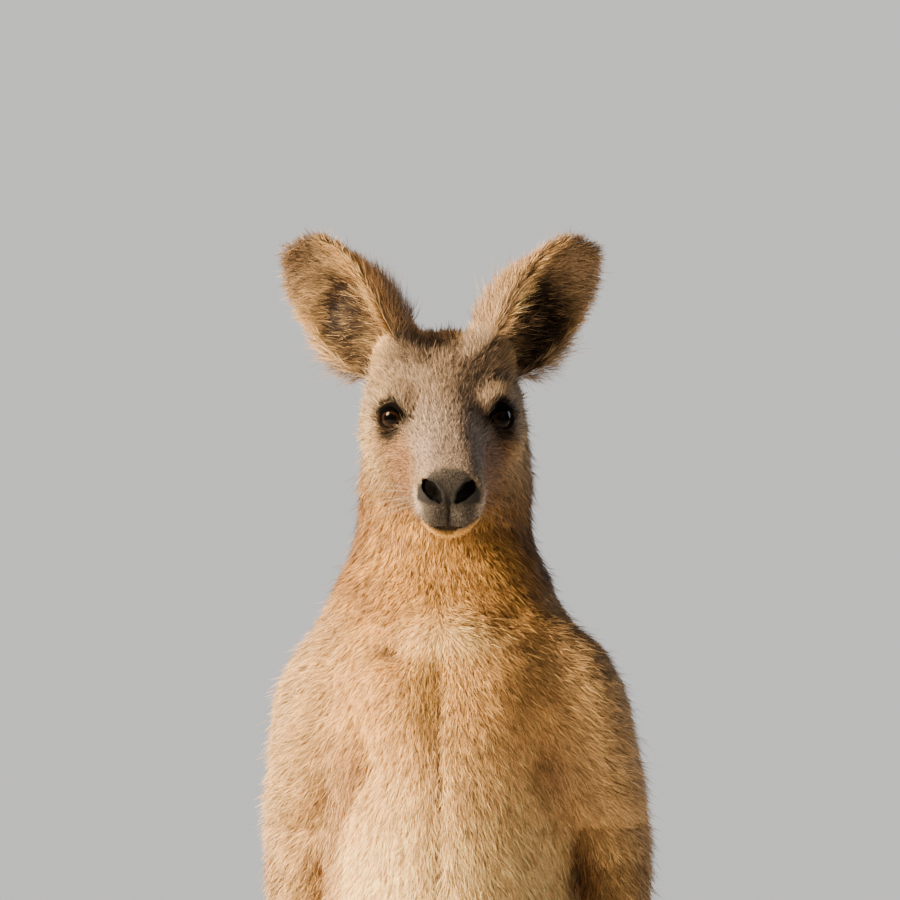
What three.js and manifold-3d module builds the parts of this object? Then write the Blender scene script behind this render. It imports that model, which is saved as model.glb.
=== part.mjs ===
// An eastern grey kangaroo, life size, standing upright and alert on its hind feet and tail.
// Millimetres, +Z up, the animal faces -Y and its own left side is +X.
// The body is a set of lofts: a section of given half sizes is carried along a smooth path.
// Neighbouring parts are cut by a slightly grown copy of each other, or by planes, so that none overlap.
import * as THREE from "three";
import { mergeVertices } from "three/addons/utils/BufferGeometryUtils.js";
import Module from "manifold-3d";

const wasm = await Module();
wasm.setup();

// ---- driving dimensions ----
const GAP = 0.4; // clear space between neighbouring parts
const SLACK = 0.15; // how far a corner may move when needless facets are dropped
const EYE_HEIGHT = 1214; // the eyes above the floor
const HEAD_PITCH = 20; // degrees, nose down
const HEAD_TURN = 6; // degrees, towards the animal's left
const HEAD_SIDE = -3; // x of the head's own origin, between the eyes
const HEAD_BACK = -52; // and its y
const EYE_RADIUS = 12.5;
const EYE_SIDE = 38.5; // eyeball centre from the midline
const EYE_FORWARD = 7; // and in front of the head's origin
const EYE_UP = 14; // and above it
const EAR_LENGTH = 120;
const EAR_THICKNESS = 7;
const EAR_OPENING = 42; // degrees, how far the opening turns outwards from straight ahead
const ARM_OUT = { left: 2.5, right: -1.5 }; // degrees, how far each arm hangs out from the body

const radians = THREE.MathUtils.degToRad;
const sides = { left: 1, right: -1 };

// ---- colours ----
const finish = (color, roughness) => new THREE.MeshStandardMaterial({ color, roughness, metalness: 0 });
const coatBack = finish(0x7d6a55, 0.9);
const coatFront = finish(0xc09a6b, 0.9);
const coatFace = finish(0x8f7c68, 0.9);
const coatDark = finish(0x3b2f27, 0.9);
const noseLeather = finish(0x2b2826, 0.55);
const eyeDark = finish(0x160e0a, 0.08);
const clawHorn = finish(0x1f1a17, 0.4);

// ---- solids ----

/** A closed three.js geometry as a solid, with its faces turned outwards. */
function solidOf(geometry) {
  const bare = new THREE.BufferGeometry();
  bare.setAttribute("position", geometry.getAttribute("position"));
  bare.setIndex(geometry.getIndex());
  const merged = mergeVertices(bare, 1e-4);
  const vertProperties = new Float32Array(merged.getAttribute("position").array);
  const triVerts = new Uint32Array(merged.getIndex().array);
  const build = () => new wasm.Manifold(new wasm.Mesh({ numProp: 3, vertProperties, triVerts }));
  const solid = build();
  if (solid.volume() > 0) return solid;
  for (let i = 0; i < triVerts.length; i += 3) {
    [triVerts[i + 1], triVerts[i + 2]] = [triVerts[i + 2], triVerts[i + 1]];
  }
  return build();
}

/** The largest connected body of a solid, so that no crumb is left by a cut. */
function largest(solid) {
  const bodies = solid.decompose();
  return bodies.reduce((best, next) => (next.volume() > best.volume() ? next : best));
}

/** A solid as a three.js geometry. */
function geometryOf(solid) {
  const { numProp, vertProperties, triVerts } = solid.getMesh();
  const count = vertProperties.length / numProp;
  const position = new Float32Array(count * 3);
  for (let i = 0; i < count; i++) {
    position.set(vertProperties.subarray(i * numProp, i * numProp + 3), i * 3);
  }
  const geometry = new THREE.BufferGeometry();
  geometry.setAttribute("position", new THREE.BufferAttribute(position, 3));
  geometry.setIndex(new THREE.BufferAttribute(new Uint32Array(triVerts), 1));
  geometry.computeVertexNormals();
  return geometry;
}

/** A grid of rings, closed by a fan to a point at each end, as one closed geometry. */
function closedRings(rings, first, last) {
  const round = rings[0].length;
  const points = [...rings.flat(), first, last];
  const index = [];
  const at = (ring, side) => ring * round + (side % round);
  for (let r = 0; r + 1 < rings.length; r++) {
    for (let s = 0; s < round; s++) {
      index.push(at(r, s), at(r, s + 1), at(r + 1, s + 1));
      index.push(at(r, s), at(r + 1, s + 1), at(r + 1, s));
    }
  }
  const end = rings.length - 1;
  for (let s = 0; s < round; s++) {
    index.push(points.length - 2, at(0, s + 1), at(0, s));
    index.push(points.length - 1, at(end, s), at(end, s + 1));
  }
  const geometry = new THREE.BufferGeometry().setFromPoints(points);
  geometry.setIndex(index);
  return geometry;
}

/** A point of a rounded square of half sizes 1: exponent 2 is a circle, and more is squarer. */
function rounded(angle, exponent) {
  const bend = (v) => Math.sign(v) * Math.abs(v) ** (2 / exponent);
  return [bend(Math.cos(angle)), bend(Math.sin(angle))];
}

/**
 * A loft: stations are [x, y, z, half width, half depth], joined by a smooth curve.
 * Width is measured across the animal and depth in the plane of the path. The ends are domed.
 * dent(angle, point) scales a section at an angle, with 0 at +X and a quarter turn at the back.
 */
function loft(stations, { round = 16, rings = 14, square = 2.1, grow = 0, dent = () => 1 } = {}) {
  const path = new THREE.CatmullRomCurve3(stations.map(([x, y, z]) => new THREE.Vector3(x, y, z)));
  const sizes = new THREE.CatmullRomCurve3(stations.map((s) => new THREE.Vector3(s[3], s[4], 0)));
  const across = new THREE.Vector3(1, 0, 0);
  const made = [];
  for (let r = 0; r <= rings; r++) {
    const t = r / rings;
    const centre = path.getPoint(t);
    const along = path.getTangent(t);
    const side = across.clone().addScaledVector(along, -across.dot(along)).normalize();
    const deep = new THREE.Vector3().crossVectors(along, side);
    const size = sizes.getPoint(t);
    made.push(
      Array.from({ length: round }, (_, s) => {
        const angle = (2 * Math.PI * s) / round;
        const [c, d] = rounded(angle, square);
        const scale = dent(angle, centre);
        return centre
          .clone()
          .addScaledVector(side, (c * size.x + Math.sign(c) * grow) * scale)
          .addScaledVector(deep, (d * size.y + Math.sign(d) * grow) * scale);
      }),
    );
  }
  const dome = (t, way) => {
    const size = sizes.getPoint(t);
    const reach = Math.min(size.x, size.y) * 0.45 + grow;
    return path.getPoint(t).addScaledVector(path.getTangent(t), way * reach);
  };
  return solidOf(closedRings(made, dome(0, -1), dome(1, 1)));
}

/** The same stations on the other side of the body when side is -1. */
const onSide = (stations, side) => stations.map(([x, ...rest]) => [x * side, ...rest]);

/** The part of a solid beyond a plane through a point, on the side that the normal points to. */
function beyond(solid, point, normal) {
  const n = new THREE.Vector3(...normal).normalize();
  return solid.trimByPlane(n.toArray(), n.dot(new THREE.Vector3(...point)));
}

/** Cuts a solid in two at a plane, with the gap between the halves: [behind, beyond]. */
function parted(solid, point, normal) {
  const n = new THREE.Vector3(...normal).normalize();
  const p = new THREE.Vector3(...point);
  const high = p.clone().addScaledVector(n, GAP / 2).toArray();
  const low = p.clone().addScaledVector(n, -GAP / 2).toArray();
  return [beyond(solid, low, n.clone().negate().toArray()), beyond(solid, high, n.toArray())];
}

const flatOnFloor = (solid) => beyond(solid, [0, 0, 0], [0, 0, 1]);

// ---- head, in its own frame: origin between the eyes, -Y forward along the muzzle, +Z up ----

// [forward, half width, top, bottom, narrowness of the top, narrowness of the bottom]
const headStations = [
  [115, 13, 9, -15, 0, 0.1],
  [112, 20, 14, -27, 0, 0.22],
  [104, 24.5, 18, -42, 0.03, 0.32],
  [90, 26.5, 21, -50, 0.06, 0.34],
  [72, 28, 25, -53, 0.1, 0.3],
  [52, 31, 30, -54, 0.18, 0.24],
  [34, 39, 35, -56, 0.3, 0.16],
  [15, 49, 41, -60, 0.38, 0.1],
  [0, 57, 46, -63, 0.36, 0.08],
  [-18, 63, 52, -64, 0.3, 0.08],
  [-38, 65, 59, -62, 0.22, 0.08],
  [-58, 61, 62, -56, 0.15, 0.08],
  [-76, 51, 57, -46, 0.1, 0.08],
  [-92, 34, 44, -28, 0, 0],
  [-99, 16, 28, -8, 0, 0],
];

/** The head: sections across the muzzle's axis, deeper below than above, with a narrow bridge. */
function headSolid({ grow = 0, round = 18, rings = 19 } = {}) {
  const curve = (...columns) =>
    new THREE.CatmullRomCurve3(headStations.map((s) => new THREE.Vector3(...columns.map((c) => s[c]))));
  const heights = curve(0, 2, 3);
  const widths = curve(1, 4, 5);
  const made = [];
  for (let r = 0; r <= rings; r++) {
    const { x: forward, y: top, z: bottom } = heights.getPoint(r / rings);
    const { x: half, y: narrowTop, z: narrowBottom } = widths.getPoint(r / rings);
    const middle = bottom + (top - bottom) * 0.5;
    made.push(
      Array.from({ length: round }, (_, s) => {
        const angle = (2 * Math.PI * s) / round;
        const [c, d] = rounded(angle, 2.2 + 0.7 * THREE.MathUtils.smoothstep(forward, 30, 90));
        const reach = (top - bottom) / 2 + grow;
        const slim = d > 0 ? 1 - narrowTop * d : 1 - narrowBottom * d * d;
        return new THREE.Vector3((half + grow) * c * slim, -forward, middle + reach * d);
      }),
    );
  }
  const tip = new THREE.Vector3(0, -headStations[0][0] - 2 - grow, -3);
  const back = new THREE.Vector3(0, -headStations.at(-1)[0] + 4 + grow, 10);
  return solidOf(closedRings(made, tip, back));
}

/** The space taken by the nose pad at the end of the muzzle, as a flattened ball. */
function noseSpace(grow = 0) {
  const ball = new THREE.SphereGeometry(1, 11, 7);
  ball.scale(25.5 + grow, 17 + grow, 17 + grow);
  ball.translate(0, -113, 2);
  return solidOf(ball);
}

/** An eyeball, as a ball at the side of the head. */
function eyeSolid(side, grow = 0) {
  const ball = new THREE.SphereGeometry(EYE_RADIUS + grow, 12, 8);
  ball.translate(side * EYE_SIDE, -EYE_FORWARD, EYE_UP);
  return solidOf(ball);
}

/**
 * An ear: a leaf-shaped shell, rolled to a funnel at its base and opening out to the tip.
 * Its middle surface is an arc across the ear, as long as the leaf is wide there, of a roll that
 * falls from the base to the tip. The shell is that surface, thickened both ways.
 */
function earSolid(side, { steps = 9, across = 7 } = {}) {
  const leaf = new THREE.CatmullRomCurve3(
    // along the ear, half width of the leaf, roll half angle in degrees
    [
      [0, 50, 128],
      [0.14, 56, 114],
      [0.32, 57, 96],
      [0.52, 52, 75],
      [0.72, 44, 58],
      [0.88, 32, 44],
      [0.97, 17, 30],
      [1, 8, 20],
    ].map((s) => new THREE.Vector3(...s)),
  );
  const axis = new THREE.Vector3(85, 44, 70).normalize();
  const facing = new THREE.Vector3(Math.sin(radians(EAR_OPENING)), -Math.cos(radians(EAR_OPENING)), 0);
  const open = facing.addScaledVector(axis, -facing.dot(axis)).normalize();
  const rim = new THREE.Vector3().crossVectors(axis, open);
  const base = new THREE.Vector3(33, 56, 46);
  const lean = 14; // the tip bends this far towards the opening side
  const shell = (offset) => {
    const rows = [];
    for (let i = 0; i <= steps; i++) {
      const { x: along, y: half, z: roll } = leaf.getPoint(i / steps);
      const turn = radians(roll);
      const radius = half / turn;
      rows.push(
        Array.from({ length: across + 1 }, (_, j) => {
          const angle = turn * ((2 * j) / across - 1);
          const r = radius + offset;
          return base
            .clone()
            .addScaledVector(axis, along * EAR_LENGTH)
            .addScaledVector(rim, r * Math.sin(angle))
            .addScaledVector(open, radius * 0.5 - r * Math.cos(angle) + lean * along * along);
        }),
      );
    }
    return rows;
  };
  const outer = shell(EAR_THICKNESS / 2);
  const inner = shell(-EAR_THICKNESS / 2);
  // Each ring runs along the outside of the shell and back along its inside.
  const rings = outer.map((row, i) => [...row, ...inner[i].slice().reverse()]);
  const points = rings.flat();
  const round = rings[0].length;
  const index = [];
  for (let r = 0; r < steps; r++) {
    for (let s = 0; s < round; s++) {
      const a = r * round + s;
      const b = r * round + ((s + 1) % round);
      index.push(a, b, b + round, a, b + round, a + round);
    }
  }
  // The two ends are strips between the outside and the inside.
  for (let s = 0; s < across; s++) {
    const near = [s, s + 1, round - 2 - s, round - 1 - s];
    const far = near.map((n) => n + steps * round);
    index.push(near[0], near[2], near[1], near[0], near[3], near[2]);
    index.push(far[0], far[1], far[2], far[0], far[2], far[3]);
  }
  const geometry = new THREE.BufferGeometry().setFromPoints(points);
  geometry.setIndex(index);
  const solid = solidOf(geometry);
  return side > 0 ? solid : solid.mirror([1, 0, 0]);
}

// ---- neck, trunk and tail ----

const trunkStations = [
  [0, 62, 372, 50, 60],
  [0, 54, 408, 90, 98],
  [0, 40, 486, 124, 138],
  [0, 20, 576, 134, 156],
  [0, 2, 660, 126, 152],
  [0, -11, 740, 111, 137],
  [0, -19, 820, 95, 121],
  [0, -22, 900, 90, 109],
  [0, -22, 965, 97, 101],
  [-2, -18, 1015, 104, 92],
  [-6, -14, 1052, 99, 80],
  [-6, -11, 1088, 83, 68],
  [-6, -6, 1125, 69, 60],
  [-5, 2, 1170, 66, 54],
  [-4, 10, 1212, 58, 46],
  [-4, 14, 1240, 40, 34],
];

/** A shallow furrow down the middle of the breast. */
function breastFurrow(angle, point) {
  const fromFront = (angle - 1.5 * Math.PI) / 0.16;
  const high = THREE.MathUtils.smoothstep(point.z, 780, 930) - THREE.MathUtils.smoothstep(point.z, 990, 1040);
  return 1 - 0.045 * high * Math.exp(-fromFront * fromFront);
}

const trunkSolid = (grow = 0) =>
  loft(trunkStations, { round: 20, rings: 20, square: 2.15, grow, dent: breastFurrow });

const tailStations = [
  [0, 96, 548, 56, 74],
  [0, 146, 470, 64, 78],
  [0, 208, 364, 58, 66],
  [0, 280, 240, 48, 52],
  [0, 358, 132, 40, 41],
  [0, 446, 62, 33, 34],
  [0, 544, 29, 27.5, 28.5],
  [0, 644, 20, 22.5, 23],
  [0, 736, 13.5, 16.5, 16.5],
  [0, 808, 7, 10, 10],
];

const tailSolid = () => flatOnFloor(loft(tailStations, { round: 12, rings: 16 }));

// ---- arms ----

const armStations = [
  [64, -30, 1060, 20, 30],
  [80, -34, 1030, 36, 42],
  [94, -34, 998, 40, 46],
  [103, -25, 956, 38, 44],
  [110, -12, 912, 35, 39],
  [115, -6, 882, 32, 36],
  [117, -24, 840, 27, 31],
  [115, -58, 788, 22, 25],
  [109, -98, 734, 16, 18],
  [106, -114, 706, 14, 14],
];
const SHOULDER = [88, -34, 1010];
const ELBOW = [122, -3, 886];
const WRIST = [107, -108, 718];
const WRIST_WAY = [0, -0.5, -1];

const palmStations = [
  [108, -102, 730, 13, 12],
  [105, -118, 702, 15, 12],
  [102, -131, 676, 18, 11],
  [100, -139, 656, 16, 9],
];
const FINGERS = 5;
const FINGER_LENGTHS = [29, 36, 38, 36, 29]; // from the thumb side
const KNUCKLES = new THREE.Vector3(100, -137, 664); // the root of the middle finger
const FINGER_SPLAY = 7; // degrees between neighbours
const FINGER_CLAW = 19;

/** The root, direction and length of a finger, numbered from the inner side of the hand. */
function fingerLine(number) {
  const place = number - (FINGERS - 1) / 2;
  const turn = radians(place * FINGER_SPLAY);
  const root = KNUCKLES.clone().add(new THREE.Vector3(place * 7.4, Math.abs(place) * 1.2, Math.abs(place) * 3));
  const way = new THREE.Vector3(Math.sin(turn), -0.4, -Math.cos(turn)).normalize();
  return { root, way, length: FINGER_LENGTHS[number] };
}

function fingerSolid(number, grow = 0) {
  const { root, way, length } = fingerLine(number);
  const at = (share, drop) => root.clone().addScaledVector(way, share * length).add(new THREE.Vector3(0, drop, 0));
  const stations = [
    [...at(-0.25, 2), 5, 5],
    [...at(0.25, 0), 6, 6],
    [...at(0.7, 0), 5.5, 5.5],
    [...at(0.95, 1), 4.5, 4.8],
  ];
  return loft(stations, { round: 5, rings: 3, grow });
}

/** A claw: a thin cone that curves towards the palm or sole, at the end of a finger or toe. */
function clawSolid(start, way, length, radius, hook) {
  const bend = (share) => hook.clone().multiplyScalar(share * share * length * 0.32);
  const stations = [0, 0.35, 0.7, 1].map((share) => {
    const p = start.clone().addScaledVector(way, share * length).add(bend(share));
    const r = radius * (1 - 0.8 * share);
    return [p.x, p.y, p.z, r * 0.8, r];
  });
  return loft(stations, { round: 5, rings: 2 });
}

// ---- legs ----

const thighStations = [
  [58, 70, 664, 34, 66],
  [88, 56, 606, 62, 110],
  [112, 16, 534, 70, 126],
  [127, -54, 478, 60, 102],
  [135, -122, 440, 46, 68],
  [134, -166, 420, 28, 40],
];
const shankStations = [
  [135, -142, 452, 28, 38],
  [131, -128, 404, 40, 57],
  [123, -90, 332, 37, 53],
  [113, -42, 250, 29, 38],
  [102, 10, 168, 21, 28],
  [94, 46, 102, 18, 25],
  [91, 60, 62, 18, 24],
];
const footStations = [
  [90, 84, 26, 17, 22],
  [90, 66, 34, 21, 33],
  [89, 34, 31, 24, 31],
  [88, -24, 24, 24, 25],
  [86, -94, 19, 26, 21],
  [85, -146, 16, 24, 18],
  [85, -164, 14, 17, 14],
];
// Each claw is given by its x and z; the inner toe is a pair of thin toes in one skin.
const toes = {
  large: {
    stations: [
      [86, -144, 16, 15, 17],
      [87, -179, 13, 14.5, 15],
      [87, -214, 12, 13, 14],
      [87, -236, 10, 10, 11],
    ],
    claws: [[87, 9]],
    clawLength: 34,
    clawRadius: 8,
  },
  outer: {
    stations: [
      [104, -114, 12, 8, 12],
      [109, -146, 10, 9.5, 11],
      [112, -178, 9, 7.5, 9],
    ],
    claws: [[112.5, 8]],
    clawLength: 21,
    clawRadius: 5.5,
  },
  inner: {
    stations: [
      [68, -114, 12, 6, 9],
      [63, -142, 10, 8, 9],
      [61, -168, 8, 7.5, 7.5],
    ],
    claws: [
      [57.5, 7],
      [64.5, 7],
    ],
    clawLength: 15,
    clawRadius: 3.4,
  },
};

const thighSolid = (side, grow = 0) => loft(onSide(thighStations, side), { round: 14, rings: 8, grow });
const shankSolid = (side, grow = 0) => loft(onSide(shankStations, side), { round: 10, rings: 9, grow });
const footSolid = (side, grow = 0) => loft(onSide(footStations, side), { round: 10, rings: 7, grow, square: 2.4 });
const toeSolid = (side, toe, grow = 0) => loft(onSide(toe.stations, side), { round: 8, rings: 3, grow });

// ---- the scene graph ----

const kangaroo = new THREE.Group();
const headGroup = new THREE.Group();
headGroup.rotation.set(radians(HEAD_PITCH), 0, radians(HEAD_TURN), "ZXY");
headGroup.position.set(HEAD_SIDE, HEAD_BACK, EYE_HEIGHT - EYE_UP * Math.cos(radians(HEAD_PITCH)));
headGroup.updateMatrix();
kangaroo.add(headGroup);

/** Adds one named part. */
function part(name, solid, material, group = kangaroo) {
  const mesh = new THREE.Mesh(geometryOf(largest(solid).simplify(SLACK)), material);
  mesh.name = name;
  group.add(mesh);
}

const inBody = (solid) => solid.transform(headGroup.matrix.elements.slice());

function addHead() {
  const eyes = Object.values(sides).map((side) => eyeSolid(side, GAP));
  const head = eyes.reduce((left, eye) => left.subtract(eye), headSolid());
  part("head", head.subtract(noseSpace(GAP)), coatFace, headGroup);
  part("nose", headSolid().intersect(noseSpace()), noseLeather, headGroup);
  for (const [name, side] of Object.entries(sides)) {
    part("eye_" + name, eyeSolid(side), eyeDark, headGroup);
    part("ear_" + name, earSolid(side).subtract(headSolid({ grow: GAP })), coatFront, headGroup);
  }
}

function addTrunk() {
  const trunk = trunkSolid().subtract(inBody(headSolid({ grow: GAP })));
  const [lower, upper] = parted(trunk, [0, 0, 800], [0, -0.1, 1]);
  const [chest, neck] = parted(upper, [0, 0, 1062], [0, -0.25, 1]);
  part("abdomen", lower, coatFront);
  part("chest", chest, coatFront);
  part("neck", neck, coatBack);
}

function addTail() {
  const tail = tailSolid().subtract(trunkSolid(GAP));
  const [base, rest] = parted(tail, [0, 280, 240], [0, 0.72, -0.7]);
  const [middle, tip] = parted(rest, [0, 534, 30], [0, 1, -0.2]);
  part("tail_base", base, coatBack);
  part("tail_middle", middle, coatBack);
  part("tail_tip", tip, coatDark);
}

function addArm(name, side) {
  // Both arms are made as the left one, hung from the shoulder at their own angle, and put on their side.
  const hang = new THREE.Matrix4()
    .makeTranslation(...SHOULDER)
    .multiply(new THREE.Matrix4().makeRotationY(-radians(ARM_OUT[name])))
    .multiply(new THREE.Matrix4().makeTranslation(...SHOULDER.map((v) => -v)));
  const placed = (solid) => {
    const hung = solid.transform(hang.elements.slice());
    return side > 0 ? hung : hung.mirror([1, 0, 0]);
  };
  const [upper, lower] = parted(loft(armStations, { round: 12, rings: 12 }), ELBOW, [0, 0.15, -1]);
  const [forearm] = parted(lower, WRIST, WRIST_WAY);
  part("upper_arm_" + name, placed(upper).subtract(trunkSolid(GAP)), coatFront);
  part("forearm_" + name, placed(forearm).subtract(trunkSolid(GAP)), coatFront);

  const backwards = new THREE.Vector3(0, 1, 0);
  let hand = parted(loft(palmStations, { round: 10, rings: 4 }), WRIST, WRIST_WAY)[1];
  for (let finger = 0; finger < FINGERS; finger++) {
    const { root, way, length } = fingerLine(finger);
    const start = root.clone().addScaledVector(way, length * 0.9);
    const claw = clawSolid(start, way, FINGER_CLAW, 3.6, backwards).subtract(fingerSolid(finger, GAP));
    hand = hand.add(fingerSolid(finger));
    part(`hand_claw_${name}_${finger + 1}`, placed(claw), clawHorn);
  }
  part("hand_" + name, placed(hand), coatDark);
}

function addLeg(name, side) {
  const thigh = thighSolid(side).subtract(trunkSolid(GAP));
  const shank = shankSolid(side).subtract(thighSolid(side, GAP)).subtract(trunkSolid(GAP));
  const foot = flatOnFloor(footSolid(side)).subtract(shankSolid(side, GAP));
  part("thigh_" + name, thigh, coatBack);
  part("shank_" + name, shank, coatBack);
  part("foot_" + name, foot, coatDark);
  const down = new THREE.Vector3(0, 0, -1);
  for (const [which, toe] of Object.entries(toes)) {
    const solid = flatOnFloor(toeSolid(side, toe)).subtract(footSolid(side, GAP));
    part(`toe_${which}_${name}`, solid, coatDark);
    toe.claws.forEach(([x, z], number) => {
      const tip = toe.stations.at(-1)[1];
      const start = new THREE.Vector3(side * x, tip, z);
      const raw = clawSolid(start, new THREE.Vector3(0, -1, 0.02), toe.clawLength, toe.clawRadius, down);
      const claw = flatOnFloor(raw).subtract(toeSolid(side, toe, GAP));
      part(`claw_${which}_${name}_${number + 1}`, claw, clawHorn);
    });
  }
}

addHead();
addTrunk();
addTail();
for (const [name, side] of Object.entries(sides)) {
  addArm(name, side);
  addLeg(name, side);
}

// The origin is on the floor, below the middle of the animal's box.
kangaroo.updateMatrixWorld(true);
const box = new THREE.Box3().setFromObject(kangaroo, true);
const middle = box.getCenter(new THREE.Vector3());
for (const piece of kangaroo.children) piece.position.sub(new THREE.Vector3(middle.x, middle.y, box.min.z));

export default kangaroo;
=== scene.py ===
"""An eastern grey kangaroo, life size: skin, coat, eyes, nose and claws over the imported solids.

The animal faces -Y and its own left side is +X. Tables are in millimetres, in the animal's own frame,
whose y is 0 just in front of the heels; they are turned into metres in the row frame by placed().
"""
import math

import bpy
import numpy as np
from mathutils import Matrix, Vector


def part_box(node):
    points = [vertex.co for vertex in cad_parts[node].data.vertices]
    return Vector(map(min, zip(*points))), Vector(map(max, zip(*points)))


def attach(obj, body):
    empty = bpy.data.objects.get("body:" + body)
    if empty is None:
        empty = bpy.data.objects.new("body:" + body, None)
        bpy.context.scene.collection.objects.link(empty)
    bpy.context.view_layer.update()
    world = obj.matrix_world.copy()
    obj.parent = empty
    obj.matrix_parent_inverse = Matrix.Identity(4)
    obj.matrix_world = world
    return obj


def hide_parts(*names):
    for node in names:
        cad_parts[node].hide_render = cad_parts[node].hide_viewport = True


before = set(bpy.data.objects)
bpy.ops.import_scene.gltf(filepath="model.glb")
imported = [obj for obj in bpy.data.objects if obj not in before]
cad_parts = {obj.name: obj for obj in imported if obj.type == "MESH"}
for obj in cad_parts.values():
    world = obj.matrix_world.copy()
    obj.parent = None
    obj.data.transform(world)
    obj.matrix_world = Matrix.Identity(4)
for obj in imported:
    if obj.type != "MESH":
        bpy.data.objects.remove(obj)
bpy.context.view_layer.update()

MM = 0.001
CLAW_REACH = 270.7  # mm, from the own frame's y = 0 forward to the tips of the large claws
OWN = np.array([0.0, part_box("claw_large_left_1")[0].y + CLAW_REACH * MM, 0.0])
SIDES = {"left": 1, "right": -1}
draw = np.random.default_rng(56)

# ---- the body's tables, in millimetres: x, y, z, half width, half depth ----

TRUNK = [
    [0, 62, 372, 50, 60], [0, 54, 408, 90, 98], [0, 40, 486, 124, 138], [0, 20, 576, 134, 156],
    [0, 2, 660, 126, 152], [0, -11, 740, 111, 137], [0, -19, 820, 95, 121], [0, -22, 900, 90, 109],
    [0, -22, 965, 97, 101], [-2, -18, 1015, 104, 92], [-6, -14, 1052, 99, 80],
    [-6, -11, 1088, 83, 68], [-6, -6, 1125, 69, 60], [-5, 2, 1170, 66, 54], [-4, 10, 1212, 58, 46],
    [-4, 14, 1240, 40, 34],
]
TAIL = [
    [0, 96, 548, 56, 74], [0, 146, 470, 64, 78], [0, 208, 364, 58, 66], [0, 280, 240, 48, 52],
    [0, 358, 132, 40, 41], [0, 446, 62, 33, 34], [0, 544, 29, 27.5, 28.5], [0, 644, 20, 22.5, 23],
    [0, 736, 13.5, 16.5, 16.5], [0, 808, 7, 10, 10],
]
ARM = [
    [64, -30, 1060, 20, 30], [80, -34, 1030, 36, 42], [94, -34, 998, 40, 46],
    [103, -25, 956, 38, 44], [110, -12, 912, 35, 39], [115, -6, 882, 32, 36],
    [117, -24, 840, 27, 31], [115, -58, 788, 22, 25], [109, -98, 734, 16, 18],
    [106, -114, 706, 14, 14],
]
PALM = [
    [109, -98, 736, 15, 14], [105, -118, 702, 15, 12], [102, -131, 676, 18, 11],
    [100, -139, 656, 16, 9],
]
THIGH = [
    [58, 70, 664, 34, 66], [88, 56, 606, 62, 110], [112, 16, 534, 70, 126],
    [127, -54, 478, 60, 102], [135, -122, 440, 46, 68], [134, -166, 420, 28, 40],
]
SHANK = [
    [135, -142, 452, 28, 38], [131, -128, 404, 40, 57], [123, -90, 332, 37, 53],
    [113, -42, 250, 29, 38], [102, 10, 168, 21, 28], [94, 46, 102, 18, 25], [91, 60, 62, 18, 24],
    [90, 66, 40, 17, 23],
]
FOOT = [
    [90, 84, 26, 17, 22], [90, 66, 34, 21, 33], [89, 34, 31, 24, 31], [88, -24, 24, 24, 25],
    [86, -94, 19, 26, 21], [85, -146, 16, 24, 18], [85, -164, 14, 17, 14],
]
TOES = {
    "large": [
        [86, -144, 16, 15, 17],
        [87, -179, 13, 14.5, 15],
        [87, -214, 12, 13, 14],
        [87, -236, 10, 10, 11],
    ],
    "outer": [[104, -114, 12, 8, 12], [109, -146, 10, 9.5, 11], [112, -178, 9, 7.5, 9]],
    "inner": [[68, -114, 12, 6, 9], [63, -142, 10, 8, 9], [61, -168, 8, 7.5, 7.5]],
}
SHOULDER = np.array([88, -34, 1010])
ARM_OUT = {"left": 2.5, "right": -1.5}  # degrees, how far each arm hangs out from the body
FINGERS = 5
FINGER_LENGTHS = [29, 36, 38, 36, 29]
KNUCKLES = np.array([100, -137, 664])
FINGER_SPLAY = 7
# how deep the coat is over the skin, in mm
DEPTH = {"trunk": 7.5, "tail": 6, "arm": 8, "palm": 2.4, "thigh": 7, "shank": 5, "foot": 3, "toe": 2.2}
# the size of the skin's triangles: in metres for the body, and in mm for the others
GRAIN = {"body": 0.0066, "head": 2.0, "hand": 1.9, "toe": 2.4}
SOLE = 0.0006  # how high the skin's lowest points lie above the floor, in metres

# the middle lines of a hand and of a foot's toes: x, y, z, half width, half depth
PALM_PATH = [[107, -108, 718, 14, 14], [101, -136, 662, 18, 14], [99, -160, 612, 12, 12]]
TOE_PATH = [[85, -190, 12, 22, 16], [85, -262, 6, 12, 10]]
# claws of a foot: where it starts, its length and its radius
FOOT_CLAWS = {
    "large_1": ((87, -236, 9), 34, 8),
    "outer_1": ((112.5, -176, 8), 21, 5.5),
    "inner_1": ((57.5, -166, 7), 15, 3.4),
    "inner_2": ((64.5, -166, 7), 15, 3.4),
}

# ---- the head, in its own frame: forward, half width, top, bottom, narrowness above and below ----

HEAD = [
    [115, 13, 9, -15, 0, 0.1], [112, 20, 14, -27, 0, 0.22], [104, 24.5, 18, -42, 0.03, 0.32],
    [90, 26.5, 21, -50, 0.06, 0.34], [72, 28, 25, -53, 0.1, 0.3], [52, 31, 30, -54, 0.18, 0.24],
    [34, 39, 35, -56, 0.3, 0.16], [15, 49, 41, -60, 0.38, 0.1], [0, 57, 46, -63, 0.36, 0.08],
    [-18, 63, 52, -64, 0.3, 0.08], [-38, 65, 59, -62, 0.22, 0.08], [-58, 61, 62, -56, 0.15, 0.08],
    [-76, 51, 57, -46, 0.1, 0.08], [-92, 34, 44, -28, 0, 0], [-99, 16, 28, -8, 0, 0],
]
HEAD_PITCH = math.radians(20)
HEAD_TURN = math.radians(6)
SOLID_EYE = np.array([0, -7, 14])  # midway between the two eyes' solids
EYE_SIDE, EYE_FORWARD, EYE_UP = 36.8, 6.5, 15.6
EYE_RADIUS = 13.4
GAZE = np.array([0.55, -0.77, 0.31]) / np.linalg.norm([0.55, -0.77, 0.31])  # of the left eye
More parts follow.
